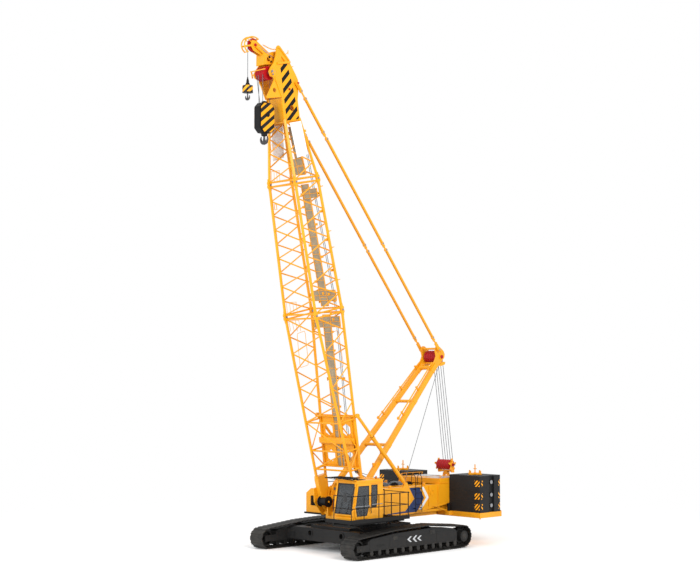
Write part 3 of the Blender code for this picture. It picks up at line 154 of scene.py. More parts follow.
def holed(outline, hole, radius, low, high, place, sides=40):
    """Plate with a round hole: rays from the hole's middle, one through each corner too, meet the outline once.

    On an edge from a to a + e, the ray r lies at reach t = cross(a, e) / cross(r, e), and it meets the edge where
    cross(a, r) / cross(r, e) is between 0 and 1.
    """
    start = np.asarray(outline, float) - hole
    edge = np.roll(start, -1, 0) - start
    turn = np.sort(np.concatenate([2.0 * np.pi * np.arange(sides) / sides - np.pi,
                                   np.arctan2(start[:, 1], start[:, 0])]))
    ray = np.stack([np.cos(turn), np.sin(turn)], -1)
    across = ray[:, None, 0] * edge[None, :, 1] - ray[:, None, 1] * edge[None, :, 0]
    across = np.where(np.abs(across) < 1e-9, 1e-9, across)
    reach = (start[:, 0] * edge[:, 1] - start[:, 1] * edge[:, 0]) / across
    share = (start[None, :, 0] * ray[:, None, 1] - start[None, :, 1] * ray[:, None, 0]) / across
    reach = np.where((reach > 0.0) & (share > -1e-6) & (share < 1.0 + 1e-6), reach, 1e9).min(1)
    outer, inner = hole + ray * reach[:, None], hole + ray * radius
    return loft([put(place, outer, low), put(place, outer, high), put(place, inner, high), put(place, inner, low)],
                True)


def frame_band(outline, low, high, place, inside, outside=0.0):
    """Band of square section that follows an outline, like a seal or a window frame."""
    outer, inner = inset(outline, -outside), inset(outline, inside)
    return loft([put(place, outer, low), put(place, outer, high), put(place, inner, high), put(place, inner, low)],
                True)


def level_place(a, b, level):
    """Place of a point in a level outline: a to the left, b to the rear, level upwards."""
    return a, b, level


def side_place(a, b, level):
    """Place of a point in an upright outline seen from the side: a to the rear, b upwards, level to the left."""
    return level, a, b


def front_place(a, b, level):
    """Place of a point in an upright outline seen from the front: a to the left, b upwards, level to the rear."""
    return a, level, b


def rectangle(a0, b0, a1, b1, corner=0.0):
    """Corners of a rectangle, each cut off by the given length."""
    a0, a1, b0, b1, c = min(a0, a1), max(a0, a1), min(b0, b1), max(b0, b1), corner
    if c <= 0.0:
        return [(a0, b0), (a1, b0), (a1, b1), (a0, b1)]
    return [(a0 + c, b0), (a1 - c, b0), (a1, b0 + c), (a1, b1 - c), (a1 - c, b1), (a0 + c, b1),
            (a0, b1 - c), (a0, b0 + c)]


def block(low, high, bevel=0.006):
    """Box with its edges cut off at 45 degrees."""
    low, high = np.minimum(low, high), np.maximum(low, high)
    bevel = min(bevel, float((high - low).min()) * 0.3)
    return slab(rectangle(low[0], low[1], high[0], high[1], bevel), low[2], high[2], level_place, bevel)


def circle(a, b, radius, sides=24, start=0.0):
    """Points of a circle round (a, b)."""
    turn = start + 2.0 * np.pi * np.arange(sides) / sides
    return np.stack([a + radius * np.cos(turn), b + radius * np.sin(turn)], -1)


def bolt_ring(y, z, ring, count, low, high, radius):
    """Six-sided bolts along x from low to high, evenly spaced on a circle round (y, z)."""
    turns = [2 * math.pi * k / count for k in range(count)]
    spots = [(y + ring * math.cos(t), z + ring * math.sin(t)) for t in turns]
    return [rod((low, a, b), (high, a, b), radius, 6) for a, b in spots]


def side_cap(profile, side, x, y, z, sides, loop=False):
    """Turned cover on one side of the machine: heights of its profile run outwards from x."""
    return turned([(radius, side * (x + height)) for radius, height in profile], (0.0, y, z), "x", sides, loop)


def piece(name, parts, finish, body, smooth=32.0):
    """One object from several closed bodies; its mesh carries the place, its origin stays at zero."""
    points = np.vstack([part[0] for part in parts]) + (0.0, SLEW, 0.0)
    faces, base = [], 0
    for part_points, part_faces in parts:
        faces += [[base + k for k in face] for face in part_faces]
        base += len(part_points)
    mesh = bpy.data.meshes.new(name)
    mesh.from_pydata(points.tolist(), [], faces)
    mesh.materials.append(finish)
    mesh.shade_smooth()
    mesh.set_sharp_from_angle(angle=math.radians(smooth))
    obj = bpy.data.objects.new(name, mesh)
    bpy.context.scene.collection.objects.link(obj)
    if isinstance(body, str):
        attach(obj, body)
    else:
        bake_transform(obj)
    return obj


# ---------------------------------------------------------------- finishes
NOISE, WAVE = "ShaderNodeTexNoise", "ShaderNodeTexWave"
RANGE, MATH, MIX = "ShaderNodeMapRange", "ShaderNodeMath", "ShaderNodeMix"


def linear(code):
    """Six hex digits of an sRGB colour as linear red, green, blue, alpha."""
    values = [int(code[k:k + 2], 16) / 255.0 for k in (0, 2, 4)]
    return tuple(v / 12.92 if v <= 0.04045 else ((v + 0.055) / 1.055) ** 2.4 for v in values) + (1.0,)


def add(tree, kind, result=0, settings=None, **inputs):
    """Adds a shader node with its settings, fills or links inputs named by word or number, gives one output back."""
    made = tree.nodes.new(kind)
    for key, value in (settings or {}).items():
        setattr(made, key, value)
    for key, value in inputs.items():
        socket = made.inputs[int(key[1:]) if key[0] == "i" and key[1:].isdigit() else key.replace("_", " ")]
        if isinstance(value, bpy.types.NodeSocket):
            tree.links.new(value, socket)
        else:
            socket.default_value = value
    return made.outputs[result] if len(made.outputs) else made


def start_finish(name):
    """Empty material and the place on the piece in metres."""
    made = bpy.data.materials.new(name)
    made.use_nodes = True
    made.node_tree.nodes.clear()
    return made, made.node_tree, add(made.node_tree, "ShaderNodeTexCoord", "Object")


def end_finish(tree, height=None, strength=0.2, distance=0.002, **shader):
    """Principled surface with an optional bump, tied to the material's output."""
    if height is not None:
        shader["Normal"] = add(tree, "ShaderNodeBump", Strength=strength, Distance=distance, Height=height)
    add(tree, "ShaderNodeOutputMaterial", Surface=add(tree, "ShaderNodeBsdfPrincipled", **shader))


def painted(name, code, worn, dust="6E655A", gloss=0.34, dust_height=2.2, coat=0.08, shine=0.3):
    """Machine paint: slow drift of tone, 7 mm orange peel, dull patches and dust that thins out with height."""
    made, tree, where = start_finish(name)
    drift = add(tree, RANGE, i0=add(tree, NOISE, Vector=where, Scale=0.7, Detail=2.0), i1=0.3,
                i2=0.7, i3=0.0, i4=0.55)
    tone = add(tree, MIX, 2, {"data_type": "RGBA"}, i0=drift, i6=linear(code), i7=linear(worn))
    height = add(tree, "ShaderNodeSeparateXYZ", "Z", Vector=where)
    low = add(tree, RANGE, i0=height, i1=0.2, i2=dust_height, i3=0.45, i4=0.0)
    speckle = add(tree, RANGE,
                  i0=add(tree, NOISE, Vector=where, Scale=9.0, Detail=5.0, Roughness=0.65), i1=0.42, i2=0.74)
    patch = add(tree, RANGE, i0=add(tree, NOISE, Vector=where, Scale=2.3, Detail=4.0), i1=0.6,
                i2=0.8, i3=0.0, i4=0.06)
    dusty = add(tree, MATH, settings={"operation": "MULTIPLY_ADD"}, i0=low, i1=speckle, i2=patch)
    colour = add(tree, MIX, 2, {"data_type": "RGBA"}, i0=dusty, i6=tone, i7=linear(dust))
    rough = add(tree, RANGE, i0=speckle, i1=0.0, i2=1.0, i3=gloss, i4=gloss + 0.14)
    peel = add(tree, NOISE, Vector=where, Scale=140.0, Detail=2.0)
    end_finish(tree, peel, 0.12, 0.0006, Base_Color=colour, Roughness=rough, Coat_Weight=coat, Coat_Roughness=0.16,
               Specular_IOR_Level=shine)
    return made


def cast_metal(name, code, worn, metallic=0.1, rough=0.6, grain=60.0):
    """Cast or flame-cut steel: sand grain of 15 mm, darker hollows and rubbed tones."""
    made, tree, where = start_finish(name)
    mottle = add(tree, RANGE, i0=add(tree, NOISE, Vector=where, Scale=3.2, Detail=4.0), i1=0.35, i2=0.7)
    fine = add(tree, NOISE, Vector=where, Scale=grain, Detail=4.0, Roughness=0.7)
    colour = add(tree, MIX, 2, {"data_type": "RGBA"}, i0=mottle, i6=linear(code), i7=linear(worn))
    dull = add(tree, RANGE, i0=fine, i1=0.0, i2=1.0, i3=rough - 0.1, i4=rough + 0.15)
    end_finish(tree, fine, 0.35, 0.0015, Base_Color=colour, Roughness=dull, Metallic=metallic)
    return made


def bare_steel(name, code, rough=0.3, stretch=(2.0, 60.0, 60.0)):
    """Drawn or ground steel with fine scratches along one direction."""
    made, tree, where = start_finish(name)
    scaled = add(tree, "ShaderNodeMapping", Vector=where, Scale=stretch)
    lines = add(tree, NOISE, Vector=scaled, Scale=3.0, Detail=4.0, Roughness=0.7)
    dull = add(tree, RANGE, i0=lines, i1=0.0, i2=1.0, i3=rough - 0.08, i4=rough + 0.14)
    end_finish(tree, lines, 0.1, 0.0004, Base_Color=linear(code), Roughness=dull, Metallic=0.9)
    return made


def striped(name, first, second, direction, width, offset=0.0, gloss=0.38):
    """Warning stripes: planes across a direction, one colour on each half of every period, with a few scuffs."""
    made, tree, where = start_finish(name)
    along = add(tree, "ShaderNodeVectorMath", "Value", {"operation": "DOT_PRODUCT"}, i0=where, i1=tuple(direction))
    phase = add(tree, MATH, settings={"operation": "MULTIPLY_ADD"}, i0=along, i1=0.5 / width, i2=offset)
    phase = add(tree, MATH, settings={"operation": "FRACT"}, i0=phase)
    pick = add(tree, MATH, settings={"operation": "GREATER_THAN"}, i0=phase, i1=0.5)
    bands = add(tree, MIX, 2, {"data_type": "RGBA"}, i0=pick, i6=linear(first), i7=linear(second))
    scuff = add(tree, NOISE, Vector=where, Scale=22.0, Detail=4.0, Roughness=0.7)
    scuff = add(tree, RANGE, i0=scuff, i1=0.66, i2=0.78, i3=0.0, i4=0.25)
    colour = add(tree, MIX, 2, {"data_type": "RGBA"}, i0=scuff, i6=bands, i7=linear("8A8378"))
    end_finish(tree, scuff, 0.1, 0.0005, Base_Color=colour, Roughness=gloss, Specular_IOR_Level=0.2)
    return made


def wire_rope(name, code, lay=0.030):
    """Wire rope: slanted strands as a wave one lay wide across the rope, greased, with painted shade in the grooves
    between the strands.
    """
    made, tree, where = start_finish(name)
    wave = add(tree, WAVE, "Fac", {"wave_type": "BANDS", "bands_direction": "DIAGONAL"}, Vector=where,
               Scale=1.0 / lay, Distortion=0.6)
    # painted shade: the valleys of the strand bumps are coloured dark 2B2A28
    colour = add(tree, MIX, 2, {"data_type": "RGBA"}, i0=wave, i6=linear("2B2A28"), i7=linear(code))
    end_finish(tree, wave, 0.6, 0.003, Base_Color=colour, Roughness=0.42, Metallic=0.6)
    return made


def plain(name, code, rough, metallic=0.0, grain=45.0, strength=0.15):
    """One even colour with a fine grain that darkens it a little."""
    made, tree, where = start_finish(name)
    fine = add(tree, NOISE, Vector=where, Scale=grain, Detail=3.0)
    share = add(tree, RANGE, i0=fine, i1=0.0, i2=1.0, i3=0.0, i4=0.25)
    tone = add(tree, MIX, 2, {"data_type": "RGBA"}, i0=share, i6=linear(code), i7=(0.0, 0.0, 0.0, 1.0))
    dull = add(tree, RANGE, i0=fine, i1=0.0, i2=1.0, i3=rough - 0.05, i4=rough + 0.07)
    end_finish(tree, fine, strength, 0.001, Base_Color=tone, Roughness=dull, Metallic=metallic)
    return made


def woven(name, code, second):
    """Seat cloth: two crossed waves of 7 mm thread."""
    made, tree, where = start_finish(name)
    warp = add(tree, WAVE, "Fac", {"bands_direction": "X"}, Vector=where, Scale=140.0)
    weft = add(tree, WAVE, "Fac", {"bands_direction": "Z"}, Vector=where, Scale=140.0)
    thread = add(tree, MATH, settings={"operation": "MAXIMUM"}, i0=warp, i1=weft)
    colour = add(tree, MIX, 2, {"data_type": "RGBA"}, i0=thread, i6=linear(code), i7=linear(second))
    end_finish(tree, thread, 0.4, 0.001, Base_Color=colour, Roughness=0.92)
    return made


def pane(name, code, clear):
    """Glass or clear plastic with faint smears in its gloss."""
    made, tree, where = start_finish(name)
    smear = add(tree, NOISE, Vector=where, Scale=3.0, Detail=3.0)
    dull = add(tree, RANGE, i0=smear, i1=0.0, i2=1.0, i3=0.0, i4=0.03)
    end_finish(tree, Base_Color=linear(code), Roughness=dull, Transmission_Weight=clear, IOR=1.12)
    return made


# two-coat machine enamel: bright, even, a soft gloss with dust low down
YELLOW = painted("yellow_machine_enamel", "EAA014", "DE940F")
BLACK = painted("black_enamel", "101011", "171718", "3A3732", 0.42, 2.4, 0.0, 0.18)
# semi-matt paint over plate and castings of the undercarriage, dusty along the ground
DARK = painted("undercarriage_black_enamel", "1B1B1C", "232323", "3F3930", 0.5, 1.2, 0.0, 0.2)
# manganese steel casting, brown-black where it has rubbed on the ground
SHOE = cast_metal("cast_track_shoe", "1D1C1B", "33302C", 0.35, 0.5)
# thick matt coat on cast ballast slabs, slightly scuffed
BALLAST = painted("ballast_grey_black_paint", "1D1D1E", "262627", "46423C", 0.5, 2.6, 0.0, 0.2)
RED = painted("red_sheave_enamel", "A80F18", "8E1016", "5A4A44", 0.36, 0.5, 0.05, 0.25)
# ground and drawn metals: fine scratches along the part
STEEL = bare_steel("turned_steel", "9A9C9F", 0.3)
ZINC = bare_steel("galvanised_steel", "A9ACAF", 0.42, (20.0, 20.0, 20.0))
ROPE = wire_rope("greased_wire_rope", "7C8288")
# open steel mesh of the walkways, dull tan-grey
TREAD = cast_metal("expanded_metal_tread", "8F856F", "A3957A", 0.2, 0.6)
GLASS = pane("smoked_cab_glass", "6A6D70", 0.55)
LENS = pane("clear_lamp_lens", "E9ECEE", 0.8)
AMBER = pane("amber_beacon_lens", "E8871E", 0.5)
RUBBER = plain("black_rubber", "141414", 0.75)
PLASTIC = plain("dark_moulded_plastic", "1C1D1F", 0.5)
CLOTH = woven("seat_cloth_weave", "17181A", "2A2C30")
# self-adhesive vinyl sheet: even and slightly glossy
WHITE = plain("white_vinyl", "EDEFF2", 0.4, grain=12.0, strength=0.05)
BLUE = plain("blue_vinyl", "1B3364", 0.38, grain=12.0, strength=0.05)
SILVER = plain("silver_vinyl", "C9CBCE", 0.32, 0.35, 12.0, 0.05)
FORGED = cast_metal("forged_hook_steel", "3A3A3B", "4A4847", 0.5, 0.45)

TILT = math.radians(78.0)        # angle of the boom above the level
LEAN = math.radians(45.85)       # angle of the mast above the level
BOOM_FOOT = (-1.300, 2.300)      # y and z of the foot pins
MAST_FOOT = (-1.000, 2.930)


def boom(x, s, n):
    """Place beside the boom: x to the left, s along it from its foot pin, n towards its front."""
    y, z = BOOM_FOOT
    return x, y - s * math.cos(TILT) - n * math.sin(TILT), z + s * math.sin(TILT) - n * math.cos(TILT)


def mast(x, s, n=0.0):
    """Place beside the mast: x to the left, s along it from its foot pin, n towards its front."""
    y, z = MAST_FOOT
    return x, y + s * math.cos(LEAN) - n * math.sin(LEAN), z + s * math.sin(LEAN) + n * math.cos(LEAN)


def boom_place(s, n, x):
    """Place of a point in an outline drawn on the side of the boom."""
    return boom(x, s, n)


def mast_place(s, n, x):
    """Place of a point in an outline drawn on the side of the mast."""
    return mast(x, s, n)


STATIONS = ((0.0, 1.290, 0.220), (9.500, 1.080, 0.890), (15.970, 0.926, 0.747), (18.950, 0.560, 0.480),
            (23.0, 0.560, 0.480))


def boom_half(s):
    """Half the width and half the depth between the boom's chords at a distance along it."""
    stops, widths, depths = zip(*STATIONS)
    return float(np.interp(s, stops, widths)), float(np.interp(s, stops, depths))


# ---------------------------------------------------------------- repaint the solids
PAINT = {
    "yellow_paint": YELLOW, "black_paint": BLACK, "dark_iron": DARK, "red_sheave": RED, "machined_steel": STEEL,
    "ballast_iron": BALLAST, "tinted_glass": GLASS, "seat_cloth": CLOTH,
}
slots = {row["node"]: row["material_slot"] for row in frame["record"]["subparts"]}
for node_name, node in frame["nodes"].items():
    node.data.materials.clear()
    node.data.materials.append(PAINT[slots[node_name]])
for node_name in ("main_hook", "auxiliary_hook"):
    frame["nodes"][node_name].data.materials[0] = FORGED
for node_name in ("backstop_rod_left", "backstop_rod_right"):
    frame["nodes"][node_name].data.materials[0] = YELLOW

# ---------------------------------------------------------------- tracks
TRACK_X = 3.200
SPROCKET = (3.640, 0.580)        # y and z of the axle of each end wheel
IDLER = (-3.670, 0.520)
ROLLER_Z, ROLLER_FIRST, ROLLER_LAST, ROLLERS = 0.262, -2.930, 2.950, 12
SHOES = 58                       # in one track


def hull(points):
    """Convex outline round points: from both ends, a corner stays only if the path turns the same way there."""
    points = sorted(set(points))
    half = []
    for sweep in (points, points[::-1]):
        chain = []
        for p in sweep:
            while len(chain) > 1:
                (ay, az), (by, bz) = chain[-2], chain[-1]
                if (by - ay) * (p[1] - az) - (bz - az) * (p[0] - ay) > 1e-9:
                    break
                chain.pop()
            chain.append(p)
        half += chain[:-1]
    return half


def track_path():
    """Outer face of the track in y and z: a belt pulled round its end wheels, carrier rollers and last roller."""
    wheels = ((*IDLER, 0.520), (*SPROCKET, 0.550), (3.100, 0.300, 0.300), (-1.300, 0.900, 0.360),
              (1.300, 0.980, 0.360))
    return np.array(hull([tuple(p) for y, z, r in wheels for p in circle(y, z, r, 96)]))


def shoes(side):
    """Track of single shoes: each a ribbed plate with cut corners, chain links and guide horns inside it."""
    path = track_path()
    ends = np.roll(path, -1, 0)
    steps = np.linalg.norm(ends - path, axis=1)
    starts = np.concatenate([[0.0], np.cumsum(steps)[:-1]])
    total = steps.sum()
    pitch = total / SHOES
    profile = np.array([(-0.49, -0.052), (-0.49, -0.018), (-0.40, 0.0), (-0.30, 0.0), (-0.22, -0.030), (0.22, -0.030),
                        (0.30, 0.0), (0.40, 0.0), (0.47, -0.018), (0.47, -0.052)])
    link = [(-0.46, -0.048), (-0.50, -0.085), (-0.40, -0.124), (0.30, -0.124), (0.46, -0.085), (0.42, -0.048)]
    parts = []
    for k in range(SHOES):
        at = (k + 0.5) * pitch
        e = int(np.searchsorted(starts, at, side="right") - 1)
        share = (at - starts[e]) / steps[e]
        centre = path[e] + (ends[e] - path[e]) * share
        before, after = (at - 0.45 * pitch) % total, (at + 0.45 * pitch) % total
        spots = []
        for d in (before, after):
            j = int(np.searchsorted(starts, d, side="right") - 1)
            spots.append(path[j] + (ends[j] - path[j]) * ((d - starts[j]) / steps[j]))
        ahead = (spots[1] - spots[0]) / np.linalg.norm(spots[1] - spots[0])
        outward = np.array([ahead[1], -ahead[0]])
        sag = max(0.0, float(np.dot(centre - (spots[0] + spots[1]) / 2.0, outward)))
        centre = centre - outward * sag

        def on_track(a, b, x, centre=centre, ahead=ahead, outward=outward):
            """Across the shoe x, along the track a in pitches, out from its sole b."""
            return (side * TRACK_X + x, centre[0] + ahead[0] * a * pitch + outward[0] * b,
                    centre[1] + ahead[1] * a * pitch + outward[1] * b)
        ends_cut = ((-0.450, 0.78), (-0.415, 1.0), (0.415, 1.0), (0.450, 0.78))
        parts.append(loft([put(on_track, profile * (trim, 1.0), x) for x, trim in ends_cut]))
        for x in (-0.125, 0.125):
            parts.append(slab(link, x - 0.028, x + 0.028, on_track, 0.003))
        for x in (-0.300, -0.200, 0.200, 0.300):
            parts.append(rod(on_track(-0.1, -0.050, x), on_track(-0.1, -0.072, x), 0.018, 6))
    return parts


for name, side in (("left", 1.0), ("right", -1.0)):
    made = piece("track_shoes_" + name, shoes(side), SHOE, "undercarriage", 28.0)
    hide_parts("track_" + name)
    parts = []
    cap = [(0.002, 0.0), (0.060, 0.0), (0.072, -0.012), (0.105, -0.016), (0.112, -0.026), (0.112, -0.150),
           (0.095, -0.160), (0.002, -0.160)]
    short_cap = [(0.002, 0.0), (0.07, 0.0), (0.08, -0.02), (0.08, -0.1), (0.002, -0.1)]
    for k in range(ROLLERS):
        y = ROLLER_FIRST + (ROLLER_LAST - ROLLER_FIRST) * k / (ROLLERS - 1)
        parts.append(side_cap(cap, side, 3.640, y, ROLLER_Z, 18))
        parts.append(block((side * 3.500, y - 0.100, 0.330), (side * 3.615, y + 0.100, 0.420), 0.012))
    for y, z in ((-1.300, 1.012), (1.300, 1.092)):
        parts.append(block((side * 3.420, y - 0.160, z - 0.230), (side * 3.625, y + 0.160, z - 0.020), 0.015))
        parts.append(side_cap(short_cap, side, 3.640, y, z - 0.110, 16))
    hub = [(0.002, 0.030), (0.090, 0.030), (0.105, 0.018), (0.150, 0.014), (0.160, -0.004), (0.235, -0.008),
           (0.245, -0.02), (0.245, -0.10), (0.002, -0.10)]
    parts.append(side_cap(hub, side, 3.625, *SPROCKET, 28))
    parts += bolt_ring(*SPROCKET, 0.200, 16, side * 3.610, side * 3.634, 0.014)
    idle = [(0.002, 0.0), (0.075, 0.0), (0.085, -0.012), (0.085, -0.08), (0.002, -0.08)]
    parts.append(side_cap(idle, side, 3.625, *IDLER, 20))
    parts += bolt_ring(*IDLER, 0.055, 8, side * 3.612, side * 3.634, 0.009)
    piece("roller_caps_" + name, parts, SHOE, "undercarriage", 30.0)

    parts = []
    panels = [(-3.060, -1.720, 0.430, 0.860, 0.960), (-1.680, -0.560, 0.430, 0.930, 0.900),
              (-0.520, 1.560, 0.430, 0.880, 0.900),
              (1.600, 2.960, 0.430, 0.960, 0.900)]
    for y0, y1, z0, z1, z2 in panels:
        parts.append(slab([(y0, z0), (y1, z0), (y1, z2), (y0, z1)], side * 3.590, side * 3.612, side_place, 0.008))
        for y in (y0 + 0.06, y1 - 0.06):
            for z in (z0 + 0.05, min(z1, z2) - 0.05):
                parts.append(rod((side * 3.600, y, z), (side * 3.622, y, z), 0.013, 6))
    parts.append(slab([(-3.900, 0.400), (-3.120, 0.400), (-3.120, 0.700), (-3.900, 0.640)], side * 3.590,
                      side * 3.610, side_place, 0.008))
    parts.append(pipe(smooth_path([(side * 3.640, -2.55, 0.60), (side * 3.645, -2.55, 0.60),
                                   (side * 3.648, -2.42, 0.60), (side * 3.648, -2.20, 0.60),
                                   (side * 3.645, -2.07, 0.60), (side * 3.612, -2.05, 0.60)], 20), 0.010, 8))
    piece("side_frame_covers_" + name, parts, DARK, "undercarriage", 30.0)

    parts = []
    for y, grow in ((-0.40, 0.86), (-0.02, 1.0), (0.30, 0.80)):
        h = 0.155 * grow
        chevron = [(y - 0.10, 0.735), (y + 0.10, 0.735 + h), (y + 0.22, 0.735 + h), (y + 0.03, 0.735),
                   (y + 0.22, 0.735 - h), (y + 0.10, 0.735 - h)]
        parts.append(slab(chevron, side * 3.610, side * 3.6155, side_place, 0.001))
    piece("direction_marks_" + name, parts, SILVER, "undercarriage")

# ---------------------------------------------------------------- carbody details
parts = []
for k in range(40):
    t = 2 * math.pi * k / 40
    x, y = 1.255 * math.cos(t), 1.255 * math.sin(t)
    parts.append(rod((x, y, 1.270), (x, y, 1.312), 0.019, 6))
piece("slew_ring_bolts", parts, ZINC, "undercarriage", 30.0)
parts = []
for y, out in ((-2.450, -1.0), (2.450, 1.0)):
    for x in (-1.100, 1.100):
        ring = [(0.132, 0.0), (0.185, 0.0), (0.190, 0.012), (0.190, 0.030), (0.132, 0.030)]
        turn = np.linspace(0, 2 * np.pi, 24, endpoint=False)
        rings = [[(x + r * math.cos(t), y + out * h, 0.830 + r * math.sin(t)) for t in turn] for r, h in ring]
        parts.append(loft(np.array(rings), loop=True))
    for x in (-2.35, 2.35):
        parts.append(block((x - 0.09, y - 0.01, 0.50), (x + 0.09, y + out * 0.035, 0.86), 0.01))
for side in (-1.0, 1.0):
    for y in (-1.20, -0.20, 0.80):
        parts.append(block((side * 1.345, y, 0.60), (side * 1.385, y + 0.70, 1.12), 0.012))
    for z in (0.46, 0.74):
        parts.append(block((side * 1.40, -1.80, z), (side * 1.62, -1.35, z + 0.03), 0.006))
piece("carbody_covers", parts, DARK, "undercarriage", 30.0)
parts = []
for k, x in enumerate((-0.55, -0.45, 0.45, 0.55)):
    side = 1.0 if x > 0 else -1.0
    parts.append(pipe(smooth_path([(x, -1.0 - 0.1 * k, 1.24), (x + side * 0.3, -1.5, 1.27),
                                   (side * 1.9, -1.70 - 0.05 * k, 1.16),
                                   (side * 2.6, -1.74, 0.99 - 0.04 * k), (side * 2.79, -1.74, 0.86)], 30), 0.022, 8))
piece("travel_hoses", parts, RUBBER, "undercarriage")

# ---------------------------------------------------------------- revolving frame details
parts = []
for side in (-1.0, 1.0):
    edge = [(-1.250, 1.640), (2.200, 1.650), (4.880, 1.992)]
    for (y0, z0), (y1, z1) in zip(edge, edge[1:]):
        band = [(y0, z0 - 0.010), (y1, z1 - 0.010), (y1, z1 + 0.020), (y0, z0 + 0.020)]
        parts.append(slab(band, side * 1.400, side * 1.500, side_place, 0.004))
    for y in (3.35, 4.05):
        parts.append(slab(rectangle(y, 2.05 if y > 4 else 1.95, y + 0.03, 2.94), side * 1.478, side * 1.530,
                          side_place, 0.004))
    for y, z in ((3.62, 2.62), (-1.30, 2.30)):
        ring = [(0.100, 0.0), (0.150, 0.0), (0.155, 0.008), (0.155, 0.022), (0.100, 0.022)] if y > 0 else \
               [(0.112, 0.0), (0.200, 0.0), (0.205, 0.01), (0.205, 0.030), (0.112, 0.030)]
        parts.append(side_cap(ring, side, 1.479, y, z, 24, True))
    parts.append(slab(rectangle(-1.46, 2.20, -1.14, 2.26, 0.01), side * 1.502, side * 1.518, side_place, 0.003))
    parts.append(slab(rectangle(-1.700, 2.800, -1.300, 2.960, 0.02), side * 1.478, side * 1.520, side_place, 0.006))
    parts.append(block((side * 1.28, 0.60, 3.000), (side * 1.40, 0.72, 3.110), 0.01))
    parts.append(block((side * 1.28, 3.10, 3.000), (side * 1.40, 3.22, 3.110), 0.01))
piece("frame_flanges", parts, YELLOW, "upper", 30.0)

ARROW = [(1.93, 2.935), (2.30, 2.38), (1.64, 1.800), (0.32, 1.735), (0.32, 1.690), (2.45, 1.712), (2.56, 1.800),
         (3.02, 2.38), (2.66, 2.935)]
CHEVRON = [(2.82, 2.935), (3.17, 2.38), (2.62, 1.800), (2.80, 1.800), (3.38, 2.38), (2.99, 2.935)]
for name, side in (("left", 1.0), ("right", -1.0)):
    levels = (side * 1.4796, side * 1.4826)
    piece("blue_arrow_" + name, [slab(ARROW, *levels, side_place, 0.0008)], BLUE, "upper")
    piece("white_arrow_" + name, [slab(CHEVRON, *levels, side_place, 0.0008)], WHITE, "upper")

# ladder with its hoops over the top edge
parts = []
for y in (2.250, 2.700):
    hoop = [(1.625, 1.74), (1.627, 2.30), (1.627, 3.20), (1.60, 3.46), (1.46, 3.58), (1.34, 3.46), (1.33, 3.06)]
    parts.append(pipe(smooth_path([(x, y, z) for x, z in hoop], 40), 0.016, 8))
for k in range(5):
    parts.append(block((1.588, 2.255, 1.812 + 0.280 * k), (1.650, 2.695, 1.830 + 0.280 * k), 0.003))
piece("ladder_hoops", parts, BLACK, "upper", 30.0)

# hood over the tanks, with its pale panel, hatch and rails
parts = [block((-1.18, 5.05, 3.268), (-0.10, 6.02, 3.300), 0.012),
         block((0.25, 4.50, 3.268), (1.20, 5.90, 3.290), 0.010)]
piece("hood_panel", parts, SILVER, "upper", 30.0)
parts = []
for side in (-1.0, 1.0):
    parts.append(block((side * 1.437, 4.26, 3.02), (side * 1.462, 6.14, 3.055), 0.006))
    parts.append(block((side * 1.437, 4.90, 1.90), (side * 1.465, 4.98, 3.05), 0.006))
    rail = [(4.40, 3.26), (4.40, 3.36), (4.46, 3.40), (5.9, 3.40), (5.96, 3.36), (5.96, 3.26)]
    parts.append(pipe(smooth_path([(side * 1.36, y, z) for y, z in rail], 30), 0.014, 8))
    for y in (4.75, 5.25, 5.75):
        parts.append(rod((side * 1.36, y, 3.26), (side * 1.36, y, 3.40), 0.011, 6))
piece("hood_rails", parts, YELLOW, "upper", 30.0)

# ---------------------------------------------------------------- winches and ropes
DRUM_Z = 2.750
DRUM_WINDS = 21                  # turns of rope in each layer on a drum
MAIN_Y, AUXILIARY_Y, LUFFING_Y = 1.750, 0.700, 2.800
for drum, y, wound in (("main", MAIN_Y, 0.370), ("auxiliary", AUXILIARY_Y, 0.350), ("luffing", LUFFING_Y, 0.370)):
    body, parts = drum + "_drum", []
    for layer_radius in (wound - 0.026, wound):
        t = np.linspace(0, 2 * np.pi * DRUM_WINDS, DRUM_WINDS * 14)
        x = -0.555 + 1.110 * t / t[-1]
        path = np.stack([x, y + layer_radius * np.cos(t), DRUM_Z + layer_radius * np.sin(t)], -1)
        parts.append(pipe(path, 0.0135 * 1.85, 6))
    piece(drum + "_drum_rope", parts, ROPE, body, 60.0)
    parts = []
    for side in (-1.0, 1.0):
        parts += bolt_ring(y, DRUM_Z, 0.345, 12, side * 0.615, side * 0.637, 0.016)
        ring = [(0.10, side * 0.612), (0.26, side * 0.612), (0.25, side * 0.650), (0.16, side * 0.662),
                (0.10, side * 0.662)]
        parts.append(turned(ring, (0.0, y, DRUM_Z), "x", 24))
    piece(drum + "_drum_bolts", parts, BLACK, body, 30.0)
parts = []
for y in (MAIN_Y, AUXILIARY_Y, LUFFING_Y):
    for side in (-1.0, 1.0):
        cap = [(0.002, 0.160), (0.060, 0.160), (0.075, 0.150), (0.150, 0.140), (0.165, 0.120),
               (0.165, 0.056), (0.002, 0.056)]
        parts.append(side_cap(cap, side, 0.780, y, DRUM_Z, 20))
        parts += bolt_ring(y, DRUM_Z, 0.118, 8, side * 0.915, side * 0.936, 0.011)
        parts.append(block((side * 0.786, y - 0.20, 2.66), (side * 0.838, y + 0.20, 2.84), 0.01))
piece("winch_gear_cases", parts, BLACK, "upper", 30.0)
parts = []
for k in range(7):
    parts.append(pipe(smooth_path([(1.00 - 0.05 * k, 0.30 + 0.30 * k, 1.82),
                                   (1.00 - 0.03 * k, 0.35 + 0.30 * k, 2.20 + 0.04 * k), (0.98, 0.60 + 0.32 * k, 2.50),
                                   (0.96, 0.70 + 0.32 * k, 2.62)], 24), 0.018, 7))
    parts.append(pipe(smooth_path([(-1.02 + 0.02 * k, 0.10 + 0.40 * k, 1.82), (-1.05, 0.20 + 0.40 * k, 2.15),
                                   (-1.12, 0.30 + 0.40 * k, 2.30), (-1.36, 0.36 + 0.40 * k, 2.34)], 24), 0.018, 7))
